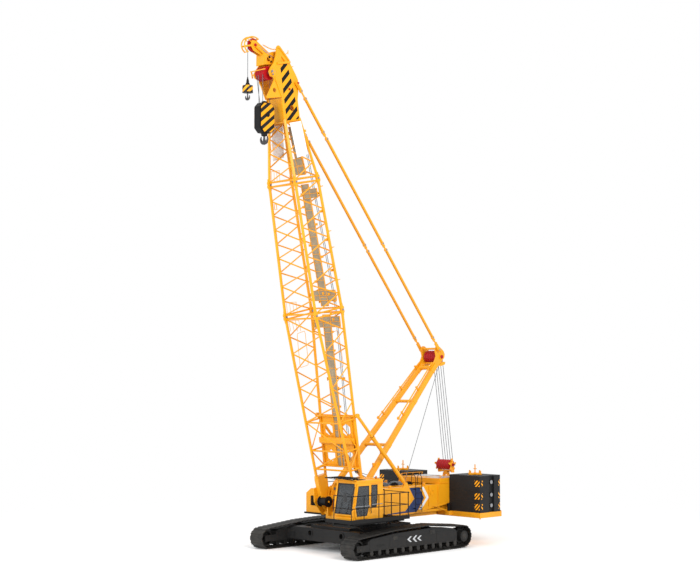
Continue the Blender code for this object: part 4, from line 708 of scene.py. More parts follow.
piece("hydraulic_hoses", parts, RUBBER, "upper")
parts = [block((-0.95, 3.45, 1.80), (0.95, 4.02, 2.55), 0.03), block((0.95, -0.60, 1.80), (1.35, 0.15, 2.45), 0.03),
         block((-1.35, -0.60, 1.80), (-0.95, 0.15, 2.30), 0.03)]
for x in (-0.6, -0.2, 0.2, 0.6):
    parts.append(block((x - 0.12, 3.42, 2.0), (x + 0.12, 3.47, 2.40), 0.01))
piece("valve_blocks", parts, PLASTIC, "upper", 30.0)
spool = [(0.05, 0.0), (0.27, 0.0), (0.275, 0.01), (0.275, 0.035), (0.20, 0.045), (0.20, 0.495), (0.275, 0.505),
         (0.275, 0.53), (0.27, 0.54), (0.05, 0.54)]
piece("front_cable_reel", [turned([(r, -0.66 - h) for r, h in spool], (0.0, -1.62, 2.33), "x", 28)], BLACK, "upper",
      30.0)
parts = [block((-0.92, -1.50, 1.62), (-0.84, -1.20, 2.36), 0.01),
         rod((-1.22, -1.62, 2.33), (-0.64, -1.62, 2.33), 0.045, 12),
         block((-0.93, -1.64, 2.28), (-0.83, -1.22, 2.38), 0.01)]
piece("front_cable_reel_bracket", parts, YELLOW, "upper", 30.0)


# ---------------------------------------------------------------- cab
# inner and outer side, front, rear and roof of the cab
CAB_IN, CAB_OUT, CAB_F, CAB_R, CAB_TOP = 1.540, 2.860, -3.450, -1.400, 3.620
CAB_SILL, CAB_RAKE = 1.990, 0.300        # where the front begins to lean back, and how far it leans by the roof


def cab_front(z):
    """y of the cab's leaning front face at a height."""
    return CAB_F + (z - CAB_SILL) * CAB_RAKE / (CAB_TOP - CAB_SILL)


DOOR_WINDOW = [(-3.190, 1.960), (-2.540, 1.960), (-2.390, 2.380), (-2.390, 3.360), (-3.080, 3.360), (-3.270, 2.380)]
REAR_WINDOW = [(-2.180, 2.350), (-1.850, 2.350), (-1.780, 2.700), (-1.780, 3.380), (-2.180, 3.380)]
RIGHT_WINDOW = [(-3.150, 2.350), (-1.700, 2.350), (-1.700, 3.350), (-3.060, 3.350)]


def screen_place(a, b, level):
    """Places a point across the cab's front: a is x, b is height, level runs out of the leaning face."""
    return a, cab_front(b) - level, b


parts = [frame_band(REAR_WINDOW, CAB_OUT - 0.004, CAB_OUT + 0.010, side_place, 0.014, 0.010),
         frame_band(RIGHT_WINDOW, CAB_IN - 0.010, CAB_IN + 0.004, side_place, 0.014, 0.010),
         frame_band(rectangle(CAB_IN + 0.130, 2.060, CAB_OUT - 0.130, 3.460), -0.012, 0.012,
                    screen_place, 0.020, 0.014)]
hatch = [(1.840, -2.900), (2.560, -2.900), (2.560, -2.300), (1.840, -2.300)]
parts.append(frame_band(hatch, CAB_TOP - 0.004, CAB_TOP + 0.016, level_place, 0.024, 0.016))
back_window = [(1.740, 2.700), (2.660, 2.700), (2.660, 3.350), (1.740, 3.350)]
parts.append(frame_band(back_window, CAB_R - 0.004, CAB_R + 0.010, front_place, 0.018, 0.012))
piece("cab_window_seals", parts, RUBBER, "upper", 30.0)
piece("cab_door_seal", [frame_band(DOOR_WINDOW, 2.900, 2.909, side_place, 0.016, 0.010)], RUBBER, "door", 30.0)
piece("cab_roof_hatch_glass", [slab(inset(hatch, 0.004), CAB_TOP - 0.030, CAB_TOP - 0.018, level_place, 0.002)],
      GLASS, "upper", 30.0)
piece("cab_rear_glass", [slab(inset(back_window, 0.004), CAB_R - 0.040, CAB_R - 0.028, front_place, 0.002)], GLASS,
      "upper", 30.0)

parts = [block((CAB_IN - 0.010, CAB_F - 0.030, 1.745), (CAB_OUT - 0.002, CAB_F + 0.190, 1.900), 0.03),
         block((CAB_IN + 0.010, CAB_F + 0.180, CAB_TOP), (CAB_OUT - 0.02, CAB_F + 0.330, CAB_TOP + 0.035), 0.014),
         block((CAB_IN + 0.020, CAB_R - 0.260, CAB_TOP), (CAB_OUT - 0.02, CAB_R - 0.02, CAB_TOP + 0.030), 0.012)]
for x in (CAB_IN + 0.055, CAB_OUT - 0.055):
    post = [(x - 0.050, CAB_SILL), (x + 0.050, CAB_SILL), (x + 0.050, 3.600), (x - 0.050, 3.600)]
    parts.append(slab(post, -0.030, 0.022, screen_place, 0.010))
piece("cab_posts_and_sill", parts, YELLOW, "upper", 35.0)

parts = []
for k in range(9):
    y = -4.00 + 0.130 * k
    parts.append(slab([(y, 3.760), (y + 0.085, 3.745), (y + 0.088, 3.757), (y + 0.003, 3.772)], 1.600, 2.820,
                      side_place, 0.002))
for x in (1.600, 2.210, 2.820):
    parts.append(slab([(-4.03, 3.735), (-2.93, 3.735), (-2.93, 3.782), (-4.03, 3.782)], x - 0.010, x + 0.010,
                      side_place, 0.003))
for x in (1.640, 2.780):
    for y in (-3.05, -3.10):
        parts.append(rod((x, y, 3.640), (x, y + 0.02, 3.750), 0.013, 6))
    parts.append(rod((x, -3.150, 3.60), (x, -3.930, 3.745), 0.012, 6))
piece("cab_sun_visor", parts, BLACK, "upper", 30.0)

parts = []
for x0, reach in ((1.95, 0.50), (2.45, 0.46)):
    base = screen_place(x0, 2.10, 0.030)
    tip = screen_place(x0 + 0.12, 2.10 + reach, 0.030)
    parts += [pipe([base, tip], 0.009, 6),
              pipe([screen_place(x0 + 0.03, 2.30, 0.024), screen_place(x0 + 0.20, 3.10, 0.022)], [0.006, 0.006], 6)]
    parts.append(turned([(0.002, 0.030), (0.028, 0.028), (0.030, -0.01), (0.002, -0.01)], base, "y", 12))
x = CAB_OUT - 0.035
grip = [screen_place(x, 2.30, 0.015), screen_place(x + 0.01, 2.33, 0.070), screen_place(x + 0.01, 3.27, 0.070),
        screen_place(x, 3.30, 0.015)]
parts.append(pipe(smooth_path(grip, 24), 0.012, 8))
parts.append(pipe(smooth_path([(CAB_OUT, -2.215, 2.10), (CAB_OUT + 0.030, -2.215, 2.12),
                               (CAB_OUT + 0.030, -2.215, 2.95), (CAB_OUT, -2.215, 2.97)], 24), 0.010, 8))
piece("cab_wipers_and_handles", parts, PLASTIC, "upper", 35.0)
parts = [slab([(-3.330, 2.395), (-2.300, 2.395), (-2.300, 2.430), (-3.330, 2.430)], 2.903, 2.912, side_place, 0.003)]
piece("door_scuff_strip", parts, ZINC, "door", 35.0)
parts = [block((2.903, -3.240, 2.300), (2.930, -3.120, 2.365), 0.008),
         pipe(smooth_path([(2.905, -2.36, 2.16), (2.945, -2.36, 2.18), (2.945, -2.36, 2.36), (2.905, -2.36, 2.385)],
                          16), 0.010, 8)]
piece("door_handle", parts, PLASTIC, "door", 35.0)
parts = [block((2.862, -2.170, 2.445), (2.890, -1.450, 2.480), 0.006),
         block((2.862, -3.35, 1.762), (2.905, -1.45, 1.800), 0.006)]
piece("door_slide_rail", parts, ZINC, "upper", 30.0)

# inside of the cab
parts = [block((1.62, -3.10, 2.02), (2.78, -2.98, 2.34), 0.04), block((2.66, -3.10, 2.30), (2.74, -2.92, 2.62), 0.02)]
for x in (1.84, 2.54):
    parts.append(rod((x, -2.80, 2.60), (x + 0.01, -2.84, 2.78), 0.012, 8))
    parts.append(turned([(0.002, 0.0), (0.024, 0.01), (0.028, 0.05), (0.018, 0.09), (0.002, 0.095)],
                        (x + 0.01, -2.84, 2.765), "z", 12))
for x in (1.98, 2.14, 2.30, 2.46):
    parts.append(slab([(-3.08, 1.86), (-2.92, 1.82), (-2.915, 1.832), (-3.075, 1.872)], x - 0.045, x + 0.045,
                      side_place, 0.003))
parts.append(slab([(2.10, 2.40), (2.42, 2.40), (2.42, 2.66), (2.10, 2.66)], -3.05, -3.015, front_place, 0.01))
piece("cab_console", parts, PLASTIC, "upper", 35.0)
parts = [block((1.955, -2.745, 2.275), (2.445, -2.16, 2.325), 0.022),
         slab([(-2.300, 2.300), (-2.240, 2.300), (-2.040, 2.960), (-2.085, 2.985)], 1.970, 2.430, side_place, 0.018)]
parts.append(slab([(-2.090, 2.970), (-2.000, 2.950), (-1.960, 3.140), (-2.040, 3.160)], 2.080, 2.320,
                  side_place, 0.02))
piece("seat_cushions", parts, CLOTH, "upper", 40.0)
piece("cab_floor_mat", [block((1.605, -3.18, 1.8003), (2.795, -2.80, 1.812), 0.004)], RUBBER, "upper")

# lamps, beacon, mirror
glass, cups = [], []
for x, y, z in ((1.75, -3.20, 3.66), (2.65, -3.20, 3.66)):
    cups.append(turned([(0.002, 0.05), (0.045, 0.045), (0.070, -0.02), (0.070, -0.05), (0.062, -0.052),
                        (0.002, -0.045)], (x, y, z + 0.045), "y", 18))
    cups.append(rod((x, y, z - 0.03), (x, y, z), 0.012, 6))
    glass.append(turned([(0.002, -0.060), (0.055, -0.056), (0.062, -0.050), (0.002, -0.047)],
                        (x, y, z + 0.045), "y", 18))
piece("lamp_housings", cups, BLACK, "upper", 35.0)
piece("lamp_lenses", glass, LENS, "upper", 35.0)
dome = [(0.002, 0.11), (0.035, 0.10), (0.048, 0.03), (0.048, 0.0), (0.002, 0.0)]
piece("beacon", [turned(dome, (2.60, -1.60, 3.66), "z", 18)], AMBER, "upper", 40.0)
base = [(0.002, 0.012), (0.002, -0.02), (0.06, -0.02), (0.06, 0.0), (0.055, 0.012)]
piece("beacon_base", [turned(base, (2.60, -1.60, 3.655), "z", 18)], BLACK, "upper", 35.0)

# ---------------------------------------------------------------- cab platform
def grating(x0, x1, y0, y1, z, pitch=0.060, bar=0.012, deep=0.018, cross=0.180):
    """Open floor: flat bars across, tied by thin rods."""
    made = []
    for k in range(int((y1 - y0) / pitch)):
        y = y0 + pitch * (k + 0.5)
        made.append(block((x0, y - bar / 2, z), (x1, y + bar / 2, z + deep), 0.002))
    for k in range(int((x1 - x0) / cross) + 1):
        x = x0 + cross * k
        made.append(block((x - 0.006, y0, z + 0.002), (x + 0.006, y1, z + deep - 0.004), 0.002))
    return made


parts = grating(2.905, 3.200, -3.86, 0.07, 1.741) + grating(1.52, 2.905, -1.36, 0.07, 1.741)
parts += [block((3.195, -3.90, 1.700), (3.222, 0.10, 1.842), 0.004),
          block((1.50, -3.905, 1.700), (3.21, -3.885, 1.842), 0.004)]
parts += [block((1.60, -3.55, 1.440), (3.05, -3.47, 1.565), 0.01),
          block((1.50, -0.60, 1.540), (3.10, -0.50, 1.662), 0.01)]
piece("platform_treads", parts, BLACK, "upper", 30.0)
parts = []
for y0, y1 in ((-0.55, 0.04), (-1.15, -0.55)):
    hoop = [(y0 + 0.02, 1.80), (y0 + 0.02, 2.86), (y0 + 0.06, 2.935), (y1 - 0.06, 2.935), (y1 - 0.02, 2.86),
            (y1 - 0.02, 1.80)]
    parts.append(pipe(smooth_path([(3.18, y, z) for y, z in hoop], 40), 0.016, 8))
parts.append(pipe(smooth_path([(3.18, 0.03, 2.92), (3.10, 0.055, 2.93), (1.62, 0.055, 2.93), (1.56, 0.055, 2.88),
                               (1.55, 0.055, 1.75)], 40), 0.018, 8))
parts.append(pipe([(3.18, 0.045, 2.36), (1.55, 0.055, 2.36)], 0.016, 8))
parts.append(pipe(smooth_path([(3.18, -3.84, 2.90), (3.19, -4.00, 3.05), (3.10, -4.10, 3.10), (3.06, -4.12, 3.05)],
                              16), 0.010, 6))
for x in (1.62, 1.90):
    parts.append(pipe([(x, 0.115, 1.10), (x, 0.115, 1.74)], 0.014, 8))
for k in range(3):
    parts.append(block((1.61, 0.095, 1.16 + 0.20 * k), (1.91, 0.140, 1.18 + 0.20 * k), 0.003))
piece("platform_rail_loops", parts, BLACK, "upper", 40.0)
points, faces = turned([(0.002, 0.0), (0.10, 0.002), (0.125, 0.015), (0.115, 0.045), (0.06, 0.065), (0.002, 0.07)],
                       (0.0, 0.0, 0.0), "y", 22)
piece("outside_mirror", [(points * (0.95, 1.0, 1.75) + (3.055, -4.13, 2.90), faces)], PLASTIC, "upper", 40.0)

# ---------------------------------------------------------------- engine housing on the right
parts = []
for k, y0 in enumerate((-0.85, 0.35, 1.55, 2.75)):
    y1 = y0 + 1.05
    parts.append(slab(rectangle(y0, 1.78, y1, 2.52, 0.02), -2.962, -2.948, side_place, 0.006))
    if k in (1, 2):
        for j in range(9):
            z = 1.90 + 0.060 * j
            parts.append(slab([(-2.985, z), (-2.955, z + 0.030), (-2.955, z + 0.036), (-2.985, z + 0.008)], y0 + 0.15,
                              y1 - 0.15, front_place, 0.002))
    parts.append(slab(rectangle(y0 + 0.05, 2.875 - 0.012, y1 - 0.05, 2.875 + 0.004), -2.45, -1.75, side_place, 0.003))
piece("housing_doors", parts, YELLOW, "upper", 30.0)
parts = []
for k in range(7):
    z = 2.03 + 0.065 * k
    parts.append(slab([(-1.050, z), (-1.010, z + 0.035), (-1.010, z + 0.042), (-1.050, z + 0.010)], -2.595, -1.855,
                      side_place, 0.002))
for y in (0.62, 1.82):
    parts.append(turned([(0.060, 0.02), (0.090, 0.0), (0.090, 0.10), (0.075, 0.12), (0.075, 0.40), (0.060, 0.40)],
                        (-2.10, y, 2.85), "z", 18, True))
for y in (-0.35, 0.85, 2.05, 3.25):
    parts.append(block((-2.985, y - 0.04, 2.10), (-2.960, y + 0.04, 2.22), 0.008))
parts.append(pipe(smooth_path([(-2.02, -0.60, 2.86), (-2.02, -0.60, 3.10), (-2.02, -0.50, 3.18), (-2.02, 3.40, 3.18),
                               (-2.02, 3.50, 3.10), (-2.02, 3.50, 2.86)], 50), 0.018, 8))
for y in (0.40, 1.40, 2.40):
    parts.append(rod((-2.02, y, 2.86), (-2.02, y, 3.18), 0.014, 6))
piece("housing_grilles_and_stacks", parts, BLACK, "upper", 30.0)

# ---------------------------------------------------------------- ballast
HAZARD_SIDE = striped("ballast_warning_squares", "F5A51F", "1B1B1B", (0.0, 0.7071, 0.7071), 0.070)
HAZARD_FRONT = striped("ballast_warning_squares_front", "F5A51F", "1B1B1B", (-0.7071, 0.0, 0.7071), 0.070)
SLABS = ((1.620, 0.570), (2.190, 0.510), (2.700, 0.770))    # foot and height of each slab of a stack


def level_cross(x, y, across):
    """Place function for an upright plate at (x, y) that faces along the machine, or across it."""
    return (lambda a, b, level: (x + a, y + level, b)) if across else (lambda a, b, level: (x + level, y + a, b))


for name, side in (("left", 1.0), ("right", -1.0)):
    flat, front, knobs, seams = [], [], [], []
    knob = [(0.03, 0.0), (0.060, 0.0), (0.060, 0.09), (0.095, 0.095), (0.100, 0.105), (0.095, 0.118), (0.03, 0.12)]
    for low, height in SLABS:
        middle = low + height * 0.5
        for y0, y1 in ((5.005, 5.110), (6.350, 6.475)):
            flat.append(slab(rectangle(y0, middle - 0.155, y1, middle + 0.155), side * 3.5895, side * 3.5925,
                             side_place, 0.0008))
        front.append(slab(rectangle(side * 3.200, middle - 0.155, side * 3.525, middle + 0.155), 4.9375, 4.9405,
                          front_place, 0.0008))
        knobs.append(side_cap(knob, side, 3.462, 5.810, middle + 0.05, 20))
        seams.append(block((side * 1.520, 4.934, low + 0.004), (side * 3.500, 4.945, low + 0.022), 0.003))
        for y in (5.10, 6.30):
            seams.append(block((side * 3.585, y - 0.09, low + 0.002), (side * 3.598, y + 0.09, low + 0.030), 0.003))
    piece("ballast_warning_marks_" + name, flat, HAZARD_SIDE, "upper")
    piece("ballast_warning_marks_front_" + name, front, HAZARD_FRONT, "upper")
    piece("ballast_lifting_lugs_" + name, knobs, STEEL, "upper", 30.0)
    piece("ballast_seams_" + name, seams, RUBBER, "upper", 30.0)
    cx, cy, top = side * 2.545, 5.740, 3.470
    parts = [block((cx - 0.42, cy - 0.06, top), (cx + 0.42, cy + 0.06, top + 0.085), 0.012),
             block((cx - 0.06, cy - 0.42, top + 0.001), (cx + 0.06, cy + 0.42, top + 0.084), 0.012)]
    for dx, dy in ((-0.36, 0.0), (0.36, 0.0), (0.0, -0.36), (0.0, 0.36)):
        parts.append(slab(rectangle(-0.05, top + 0.080, 0.05, top + 0.21, 0.02), -0.012, 0.012,
                          level_cross(cx + dx, cy + dy, bool(dx)), 0.004))
    parts.append(rod((cx, cy, top + 0.08), (cx, cy, top + 0.52), 0.030, 10))
    parts.append(rod((cx - 0.11, cy, top + 0.30), (cx + 0.11, cy, top + 0.30), 0.018, 8))
    parts.append(turned([(0.03, 0.0), (0.07, 0.0), (0.07, 0.03), (0.03, 0.035)], (cx, cy, top + 0.085), "z", 14))
    piece("ballast_lifting_cross_" + name, parts, YELLOW, "upper", 30.0)
    jack = [turned([(0.03, 0.0), (0.075, 0.0), (0.075, 0.34), (0.055, 0.36), (0.03, 0.36)],
                   (side * 1.62, 4.74, 1.66), "z", 16),
           rod((side * 1.62, 4.74, 1.62), (side * 1.62, 4.74, 1.70), 0.05, 12)]
    piece("ballast_jack_" + name, jack, BLACK, "upper", 30.0)
    parts = [slab([(3.60, 1.93), (3.72, 1.90), (4.80, 1.56), (4.86, 1.62), (4.84, 1.66)], side * 1.490, side * 1.520,
                  side_place, 0.005),
             block((side * 1.50, 4.60, 1.40), (side * 1.75, 4.87, 1.62), 0.012),
             block((side * 3.00, 4.835, 1.40), (side * 3.30, 4.865, 1.60), 0.008),
             rod((side * 3.50, 5.00, 1.29), (side * 3.50, 5.00, 1.37), 0.03, 10)]
    for x in (1.75, 2.35, 2.95, 3.55):
        parts.append(block((side * x - 0.012, 6.555, 1.38), (side * x + 0.012, 6.575, 1.60), 0.004))
    parts.append(block((side * 1.50, 6.540, 1.615), (side * 3.60, 6.572, 1.665), 0.008))
    piece("ballast_tray_brackets_" + name, parts, YELLOW, "upper", 30.0)


# ---------------------------------------------------------------- boom
STOPS, WIDTHS, DEPTHS = zip(*STATIONS)


def boom_side(side):
    """Place function on a side face of the boom: along it, towards its front, out from its chords."""
    return lambda s, n, level: boom(side * (np.interp(s, STOPS, WIDTHS) + level), s, n)


def boom_rear(x, s, level):
    """Place on the rear face between the chords: across, along, and inwards from the chords' middle."""
    return boom(x, s, level - np.interp(s, STOPS, DEPTHS))


def boom_front(x, s, level):
    """Place on the front face between the chords: across, along, and forwards from the chords' middle."""
    return boom(x, s, level + np.interp(s, STOPS, DEPTHS))


parts, pins = [], []
for joint in (9.500, 15.970):
    for side in (-1.0, 1.0):
        for face in (-1.0, 1.0):
            for move in (-0.085, 0.085):
                w, d = boom_half(joint + move)
                x = side * w
                parts.append(slab(circle(joint + move, face * d, 0.118, 18), x - 0.062, x + 0.062, boom_place, 0.010))
                parts.append(slab([(joint + move * 0.2, face * d - 0.085), (joint + move * 3.4, face * d - 0.075),
                                   (joint + move * 3.4, face * d + 0.075), (joint + move * 0.2, face * d + 0.085)],
                                  x - 0.040, x + 0.040, boom_place, 0.008))
            pins.append(rod(boom(side * w - 0.10, joint, face * d),
                            boom(side * w + 0.10, joint, face * d), 0.050, 14))
            pins.append(rod(boom(side * w - 0.086, joint, face * d + 0.06),
                            boom(side * w - 0.086, joint, face * d - 0.06), 0.008, 6))
piece("boom_joint_lugs", parts, YELLOW, "boom", 35.0)
piece("boom_joint_pins", pins, STEEL, "boom", 35.0)

# mesh floor that climbs inside the rear face, with wide landings at the joints
WALKS = ((1.80, 9.30, -0.20, 0.34), (9.72, 15.75, -0.19, 0.32), (16.22, 18.60, -0.20, 0.26))
LANDINGS = ((8.68, 9.20, -0.84, 1.00), (10.00, 10.50, -0.70, 0.96), (15.05, 15.50, -0.10, 0.86),
            (16.25, 17.03, -0.60, 0.33))
parts, edges = [], []
for s0, s1, x0, x1 in WALKS + LANDINGS:
    lift = 0.108 if (s0, s1, x0, x1) in LANDINGS else 0.092
    parts.append(slab(rectangle(x0, s0, x1, s1), lift, lift + 0.012, boom_rear, 0.003))
    for x in (x0, x1):
        edges.append(slab(rectangle(x - 0.012, s0, x + 0.012, s1), lift - 0.006, lift + 0.045, boom_rear, 0.003))
    count = max(2, int((s1 - s0) / 0.42))
    for k in range(count + 1):
        s = s0 + (s1 - s0) * k / count
        edges.append(slab(rectangle(x0, s - 0.012, x1, s + 0.012), lift + 0.013, lift + 0.030, boom_rear, 0.003))
piece("boom_walkway_mesh", parts, TREAD, "boom", 30.0)
parts = edges
for k in range(9):
    s = 1.95 + 0.92 * k
    parts.append(slab(rectangle(0.36, s, 0.42, s + 0.10), 0.05, 0.16, boom_rear, 0.006))
for s, x in ((10.9, -0.30), (12.1, 0.42), (12.7, -0.28), (13.7, 0.40), (14.6, -0.26), (10.25, 0.5),
             (10.3, 0.1), (9.0, 0.55)):
    parts.append(slab(rectangle(x - 0.05, s, x + 0.05, s + 0.12), 0.05, 0.17, boom_rear, 0.006))
piece("boom_walkway_edges", parts, YELLOW, "boom", 30.0)

# hand hoops, railing posts and the stops that keep the hoist ropes off the chords
parts = []
for corners, face in ((((-0.775, 6.95), (-0.135, 7.10), (0.11, 8.80), (-0.50, 8.66)), boom_front),
                      (((0.215, 6.58), (0.805, 6.74), (0.66, 8.50), (0.04, 8.35)), boom_rear)):
    loop = []
    for (ax, a), (bx, b) in zip(corners, corners[1:] + corners[:1]):
        for share in (0.08, 0.5, 0.92):
            loop.append(face(ax + (bx - ax) * share, a + (b - a) * share, 0.0))
    parts.append(pipe(loop, 0.014, 7, True))
for low, high in ((9.66, 10.22), (8.78, 9.32), (16.10, 16.60)):
    for x in (-0.86, -0.64, -0.42, -0.20):
        parts.append(rod(boom_front(x * boom_half(low)[0], low, -0.03),
                         boom_front(x * boom_half(high)[0], high, -0.03), 0.011, 6))
    parts.append(rod(boom_front(-0.90 * boom_half(high)[0], high, -0.03),
                     boom_front(-0.16 * boom_half(high)[0], high, -0.03), 0.013, 6))
for s in (10.95, 12.55, 13.35, 15.55):
    for side in (1.0, -1.0):
        w, d = boom_half(s)
        parts.append(rod(boom(side * w, s, -d - 0.04), boom(side * (w + 0.01), s + 0.01, -d - 0.235), 0.021, 8))
        parts.append(slab(rectangle(s - 0.05, -d - 0.10, s + 0.05, -d + 0.02), side * w - 0.02, side * w + 0.02,
                          boom_place, 0.005))
for s, x in ((14.75, -0.70), (17.6, -0.52)):
    parts.append(frame_band(rectangle(x - 0.09, s, x + 0.09, s + 0.28), -0.01, 0.02, boom_front, 0.022))
for s in (11.4, 12.9, 14.3):
    w = boom_half(s)[0]
    parts.append(slab(rectangle(w - 0.20, s, w - 0.10, s + 0.12), -0.04, 0.10, boom_rear, 0.008))
piece("boom_hoops_and_stops", parts, YELLOW, "boom", 35.0)

# rope rollers across the rear face
parts, rolls = [], []
for s in (3.05, 6.10, 9.95, 15.25, 18.30):
    d = boom_half(s)[1]
    for x in (-0.42, 0.62):
        parts.append(slab([(s - 0.05, -d - 0.20), (s + 0.05, -d - 0.20), (s + 0.09, -d + 0.03),
                           (s - 0.09, -d + 0.03)], x - 0.012, x + 0.012, boom_place, 0.003))
    rolls.append(turned([(0.02, -0.030), (0.045, -0.030), (0.045, 1.030), (0.02, 1.030)], (0.0, 0.0, 0.0), "x", 14))
    points, faces = rolls[-1]
    rolls[-1] = (points * (0.98, 1.0, 1.0) + boom(-0.39, s, -d - 0.140), faces)
piece("rope_roller_plates", parts, YELLOW, "boom", 30.0)
piece("rope_rollers", rolls, STEEL, "boom", 35.0)

# plated foot of the boom: stiffeners on the rear plate and round collars at its pins
parts = []
for x in (-1.08, -0.16, 0.16, 1.08):
    parts.append(slab(rectangle(x - 0.018, 1.80, x + 0.018, 4.30), 0.075, 0.165, boom_rear, 0.004))
for s in (1.80, 2.92, 4.28):
    parts.append(slab(rectangle(-1.20, s - 0.02, 1.20, s + 0.02), 0.075, 0.180, boom_rear, 0.004))
parts.append(slab(rectangle(-1.16, 2.97, 1.16, 3.24), 0.076, 0.30, boom_rear, 0.010))
for side in (-1.0, 1.0):
    for x in (side * 1.140, side * 1.438):
        parts.append(slab(circle(0.0, 0.0, 0.185, 28), x - 0.016, x + 0.016, boom_place, 0.005))
    parts.append(slab([(0.25, -0.17), (0.95, -0.26), (0.95, 0.26), (0.25, 0.17)], side * 1.428, side * 1.440,
                      boom_place, 0.004))
piece("boom_foot_plates", parts, YELLOW, "boom", 30.0)
turns = np.linspace(0, 2 * np.pi, 22, endpoint=False)
loop = [boom(0.92 + 0.10 * math.cos(t), 1.62 + 0.16 * math.sin(t), -0.36) for t in turns]
tail = smooth_path([boom(0.92, 1.78, -0.36), boom(1.05, 2.2, -0.30), boom(1.10, 2.9, -0.33)], 20)
piece("boom_foot_hose", [pipe(loop, 0.018, 7, True), pipe(tail, 0.018, 7)], RUBBER, "boom")

# blank banners
for name, side in (("left", 1.0), ("right", -1.0)):
    piece("banner_" + name,
          [slab([(18.77, 0.27), (18.79, -0.47), (17.18, -0.42), (17.08, 0.33)], 0.075, 0.079, boom_side(side),
                0.0012)], WHITE, "boom")

# warning stripes on both sides of the head
slant = np.array(boom(0.0, 1.0, 0.0)) - np.array(boom(0.0, 0.0, 0.0))
across = np.array(boom(0.0, 0.0, 1.0)) - np.array(boom(0.0, 0.0, 0.0))
HEAD_HOLE = (19.450, -0.100)
HEAD_STRIPES = striped("head_warning_stripes", "EAA014", "0B0B0B", tuple(slant * 0.80 + across * 0.60), 0.190, 0.30)
for name, side in (("left", 1.0), ("right", -1.0)):
    panel = [(18.86, 0.36), (21.57, 0.24), (21.57, -0.22), (20.60, -0.36), (18.88, -0.47)]
    parts = [holed(panel, HEAD_HOLE, 0.138, *sorted((side * 0.5605, side * 0.5655)), boom_place)]
    piece("head_warning_panel_" + name, parts, HEAD_STRIPES, "boom")

# ---------------------------------------------------------------- boom head, jib and their sheaves
HEAD_S, HEAD_N = 21.230, 0.810   # axle of the head's wheels
JIB_S, JIB_N = 22.610, 1.260     # axle of the jib's wheel
MAST_LENGTH = 9.200
HEAD_Y, HEAD_Z = boom(0.0, HEAD_S, HEAD_N)[1:]
JIB_Y, JIB_Z = boom(0.0, JIB_S, JIB_N)[1:]
MAST_Y, MAST_Z = mast(0.0, MAST_LENGTH)[1:]


def grooved(centre, radius, half, count, hub, sides=40):
    """Rope wheels side by side, turned about x: each rises to its two rims and dips 9% of its radius between them."""
    step = 2.0 * half / count
    shape = ((0.82, 0.01), (1.0, 0.03), (1.0, 0.13), (0.91, 0.36), (0.91, 0.64), (1.0, 0.87),
             (1.0, 0.97), (0.82, 0.99))
    profile = [(radius * size, step * (k + share) - half) for k in range(count) for size, share in shape]
    return turned([(hub, -half)] + profile + [(hub, half)], centre, "x", sides)


def axle(centre, radius, half, collar):
    """Shaft along x with a raised collar at both ends."""
    ends = [(radius, -half - 0.05), (collar, -half - 0.045), (collar, -half + 0.03), (radius, -half + 0.035)]
    return turned(ends + [(size, -height) for size, height in reversed(ends)], centre, "x", 24)


made = piece("head_wheels", [grooved((0.0, HEAD_Y, HEAD_Z), 0.33, 0.30, 4, 0.08)], RED, "head_sheave_pack",
             30.0)
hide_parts("head_sheaves")
piece("head_axle", [axle((0.0, HEAD_Y, HEAD_Z), 0.069, 0.60, 0.12)], STEEL, "head_sheave_pack",
      30.0)
wheel = [(0.05, -0.05), (0.20, -0.04), (0.27, -0.045), (0.32, -0.05), (0.285, -0.012),
         (0.285, 0.012), (0.32, 0.05), (0.27, 0.045), (0.20, 0.04), (0.05, 0.05)]
parts = [turned(wheel, (0.0, JIB_Y, JIB_Z), "x", 40), axle((0.0, JIB_Y, JIB_Z), 0.039, 0.15, 0.075)]
made = piece("jib_wheel", parts, RED, "jib_sheave_wheel", 30.0)
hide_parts("jib_sheave")

